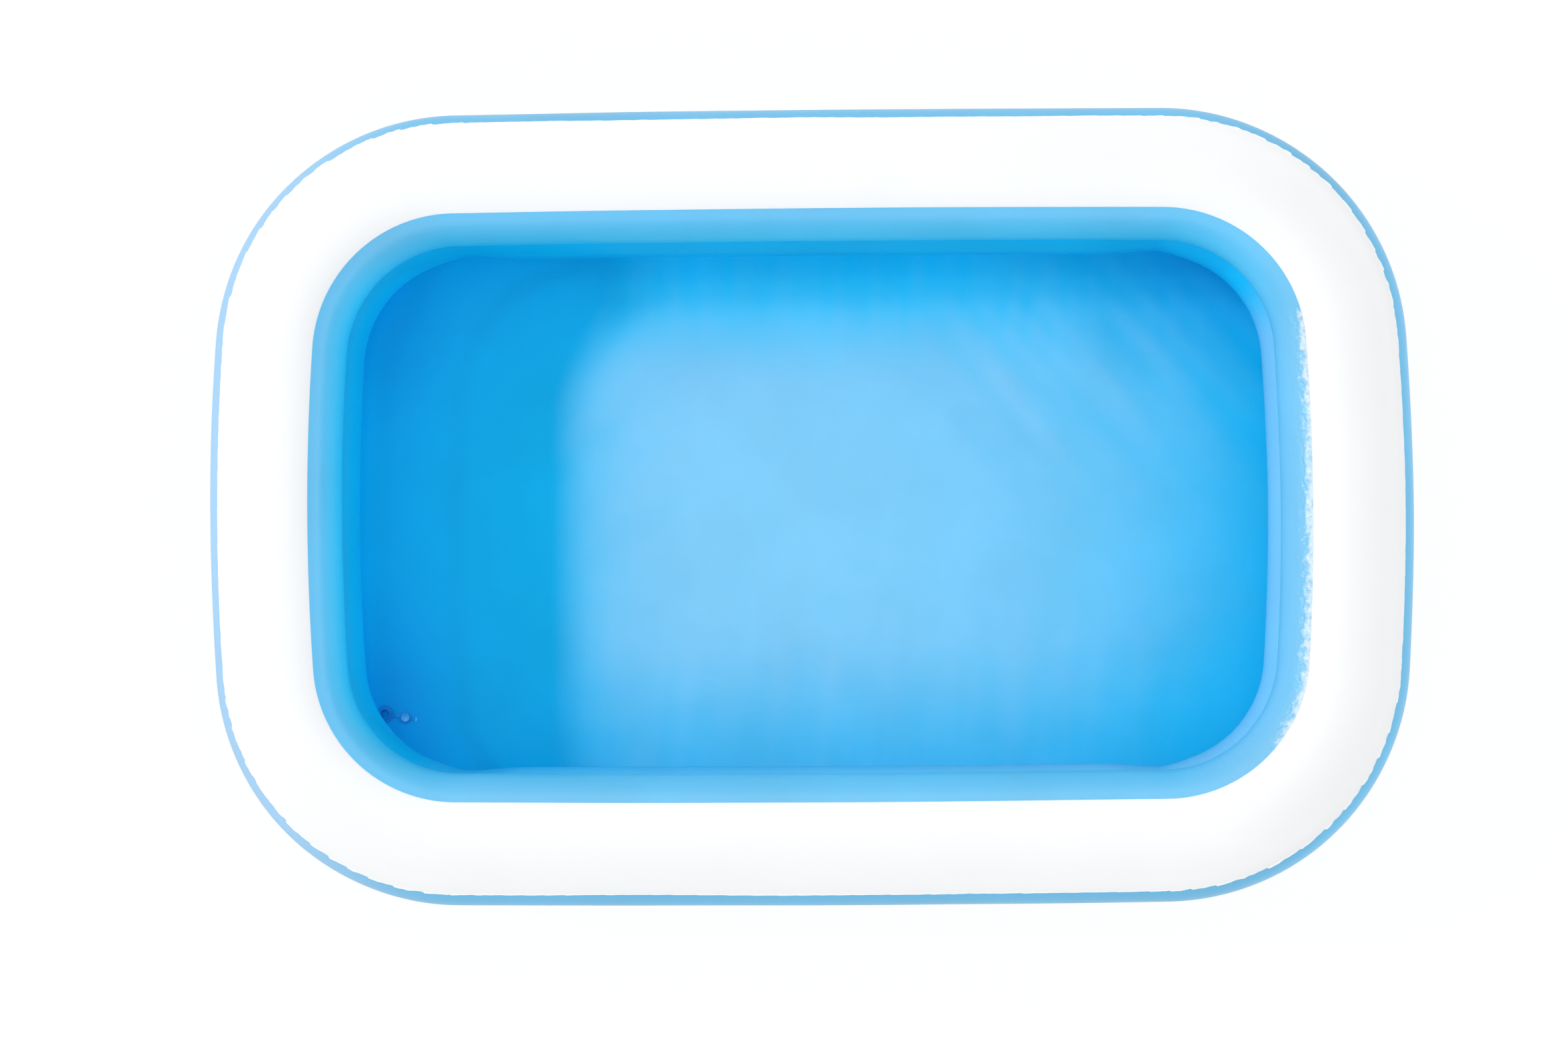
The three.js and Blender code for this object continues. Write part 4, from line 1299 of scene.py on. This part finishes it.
class POOL_OT_rings(Operator):
    """Makes the walls of both air rings, the divider between them and the white top panel"""

    bl_idname = "pool.rings"
    bl_label = "Air Rings"

    def execute(self, context):
        parts = build_context()
        sizes, ring, tints = parts.sizes, parts.ring, parts.colours
        blue = {"film": tints.film, "glow": tints.glow}
        white = {"film": tints.panel_film, "glow": tints.panel_film, "scatter": 0.08, "cloud": 0.01}
        lower = vinyl("pvc_sheet_lower_ring_calendered", 0.3, **blue), lower_tint, "lower_wall_vinyl"
        upper = vinyl("pvc_sheet_upper_ring_calendered", 0.28, glint_colour=tints.panel, **blue)
        upper = upper, upper_tint, "upper_wall_vinyl"
        panel = vinyl("pvc_sheet_white_calendered", 0.36, **white), panel_tint, "white_vinyl"
        foot, low, high = sizes.ground_half, ring.lower_centre, (0, ring.upper_centre)
        sheets = (
            ("lower_wall_outside", lower_section(sizes, ring, 1), (foot, low), lower, "lower_outer_wall"),
            ("lower_wall_inside", lower_section(sizes, ring, -1), (-foot, low), lower, "lower_inner_wall"),
            ("divider_web", divider_section(sizes, ring), None, lower, "ring_divider"),
            ("upper_wall_outside", upper_section(sizes, ring, 1), high, upper, "upper_outer_wall"),
            ("upper_wall_inside", upper_section(sizes, ring, -1), high, upper, "upper_inner_wall"),
            ("white_panel", panel_section(sizes, ring), high, panel, "top_panel"),
        )
        valves = {"lower_outer_wall": valve_frame("lower"), "upper_outer_wall": valve_frame("upper")}
        for name, section, tube, (material, colour_at, slot), node in sheets:
            wander = ragged if node == "top_panel" else None
            piece = ring_sheet(parts, name, section, tube, material, colour_at, valves.get(node), wander)
            dressed(piece, "pool", slot, node)
        return {"FINISHED"}


class POOL_OT_drain(Operator):
    """Makes the floor drain and its open plug"""

    bl_idname = "pool.drain"
    bl_label = "Drain"

    def execute(self, context):
        tints, sizes = context.scene.pool_colours, context.scene.drain_sizes
        socket = moulded_plastic("pvc_moulded_drain", tints.drain, 0.4, 0.2)
        plug = moulded_plastic("pvc_moulded_plug", tints.plug, 0.34, 0.25, tints.plug_painted_glow)
        matrix = drain_frame()
        moulded("drain_body", drain_socket, sizes, matrix, socket, "pool", "drain_plastic", "drain_socket")
        moulded("drain_stopper", drain_plug, sizes, matrix, plug, "plug", "plug_plastic", "drain_plug")
        return {"FINISHED"}


class POOL_OT_valves(Operator):
    """Makes the air valve of each ring: base, stem, one-way flap and cap"""

    bl_idname = "pool.valves"
    bl_label = "Air Valves"

    def execute(self, context):
        tints, sizes = context.scene.pool_colours, context.scene.valve_sizes
        body = moulded_plastic("pvc_moulded_valve", tints.valve, 0.3)
        top = moulded_plastic("pvc_moulded_valve_cap", tints.cap, 0.32)
        pieces = (
            ("base", valve_base, body, "valve_plastic"),
            ("stem", valve_stem, body, "valve_plastic"),
            ("flap", valve_flap, body, "valve_plastic"),
            ("cap", valve_cap, top, "cap_plastic"),
        )
        for ring in ("lower", "upper"):
            matrix = valve_frame(ring)
            for part, make, material, slot in pieces:
                name, node = f"{ring}_air_{part}", f"{ring}_valve_{part}"
                rider = "pool" if part == "base" else f"{ring}_{part}"
                moulded(name, make, sizes, matrix, material, rider, slot, node)
        return {"FINISHED"}


class POOL_OT_stage(Operator):
    """Makes the white studio floor, the light and the camera"""

    bl_idname = "pool.stage"
    bl_label = "Stage"

    def execute(self, context):
        scene = context.scene
        stage = scene.pool_stage
        bm = bmesh.new()
        bmesh.ops.create_grid(bm, x_segments=1, y_segments=1, size=GROUND_HALF)
        bmesh.ops.translate(bm, verts=bm.verts, vec=(0, 0, -GROUND_DROP))
        finished("studio_floor", bm, studio_floor(scene.pool_colours))
        scene.world = studio_world(stage)
        key = bpy.data.lights.new("key_light", "SUN")
        key.energy = stage.key * math.pi
        key.angle = stage.softness
        placed("key_light", key, -2 * KEY_DIRECTION, KEY_DIRECTION.to_track_quat("-Z", "Y").to_euler())
        view = bpy.data.cameras.new("photo_camera")
        view.lens = stage.lens
        view.sensor_width = 36
        view.clip_end = 200
        turn = [math.radians(degrees) for degrees in CAMERA_TURN]
        scene.camera = placed("photo_camera", view, CAMERA_PLACE, turn)
        scene.view_settings.view_transform = "Standard"
        return {"FINISHED"}


STEPS = (POOL_OT_floor, POOL_OT_rings, POOL_OT_drain, POOL_OT_valves, POOL_OT_stage)


class POOL_PT_pieces(Panel):
    """Lists the steps that make the pool, and its sizes and colours"""

    bl_label = "Pool"
    bl_space_type = "VIEW_3D"
    bl_region_type = "UI"
    bl_category = "Pool"

    def draw(self, context):
        for step in STEPS:
            self.layout.operator(step.bl_idname)
        for group in GROUPS:
            settings = getattr(context.scene, group)
            box = self.layout.box()
            for name in settings.__annotations__:
                box.prop(settings, name)


GROUPS = {
    "pool_sizes": PoolSizes,
    "pool_wrinkles": WrinkleSizes,
    "drain_sizes": DrainSizes,
    "valve_sizes": ValveSizes,
    "pool_colours": PoolColours,
    "pool_stage": StageSettings,
}
CLASSES = (*GROUPS.values(), *STEPS, POOL_PT_pieces)


def register():
    for cls in CLASSES:
        bpy.utils.register_class(cls)
    for name, group in GROUPS.items():
        setattr(bpy.types.Scene, name, PointerProperty(type=group))


def unregister():
    for name in GROUPS:
        delattr(bpy.types.Scene, name)
    for cls in reversed(CLASSES):
        bpy.utils.unregister_class(cls)


def main():
    register()
    bpy.ops.pool.floor()
    bpy.ops.pool.rings()
    bpy.ops.pool.drain()
    bpy.ops.pool.valves()
    bpy.ops.pool.stage()


if __name__ == "__main__":
    main()
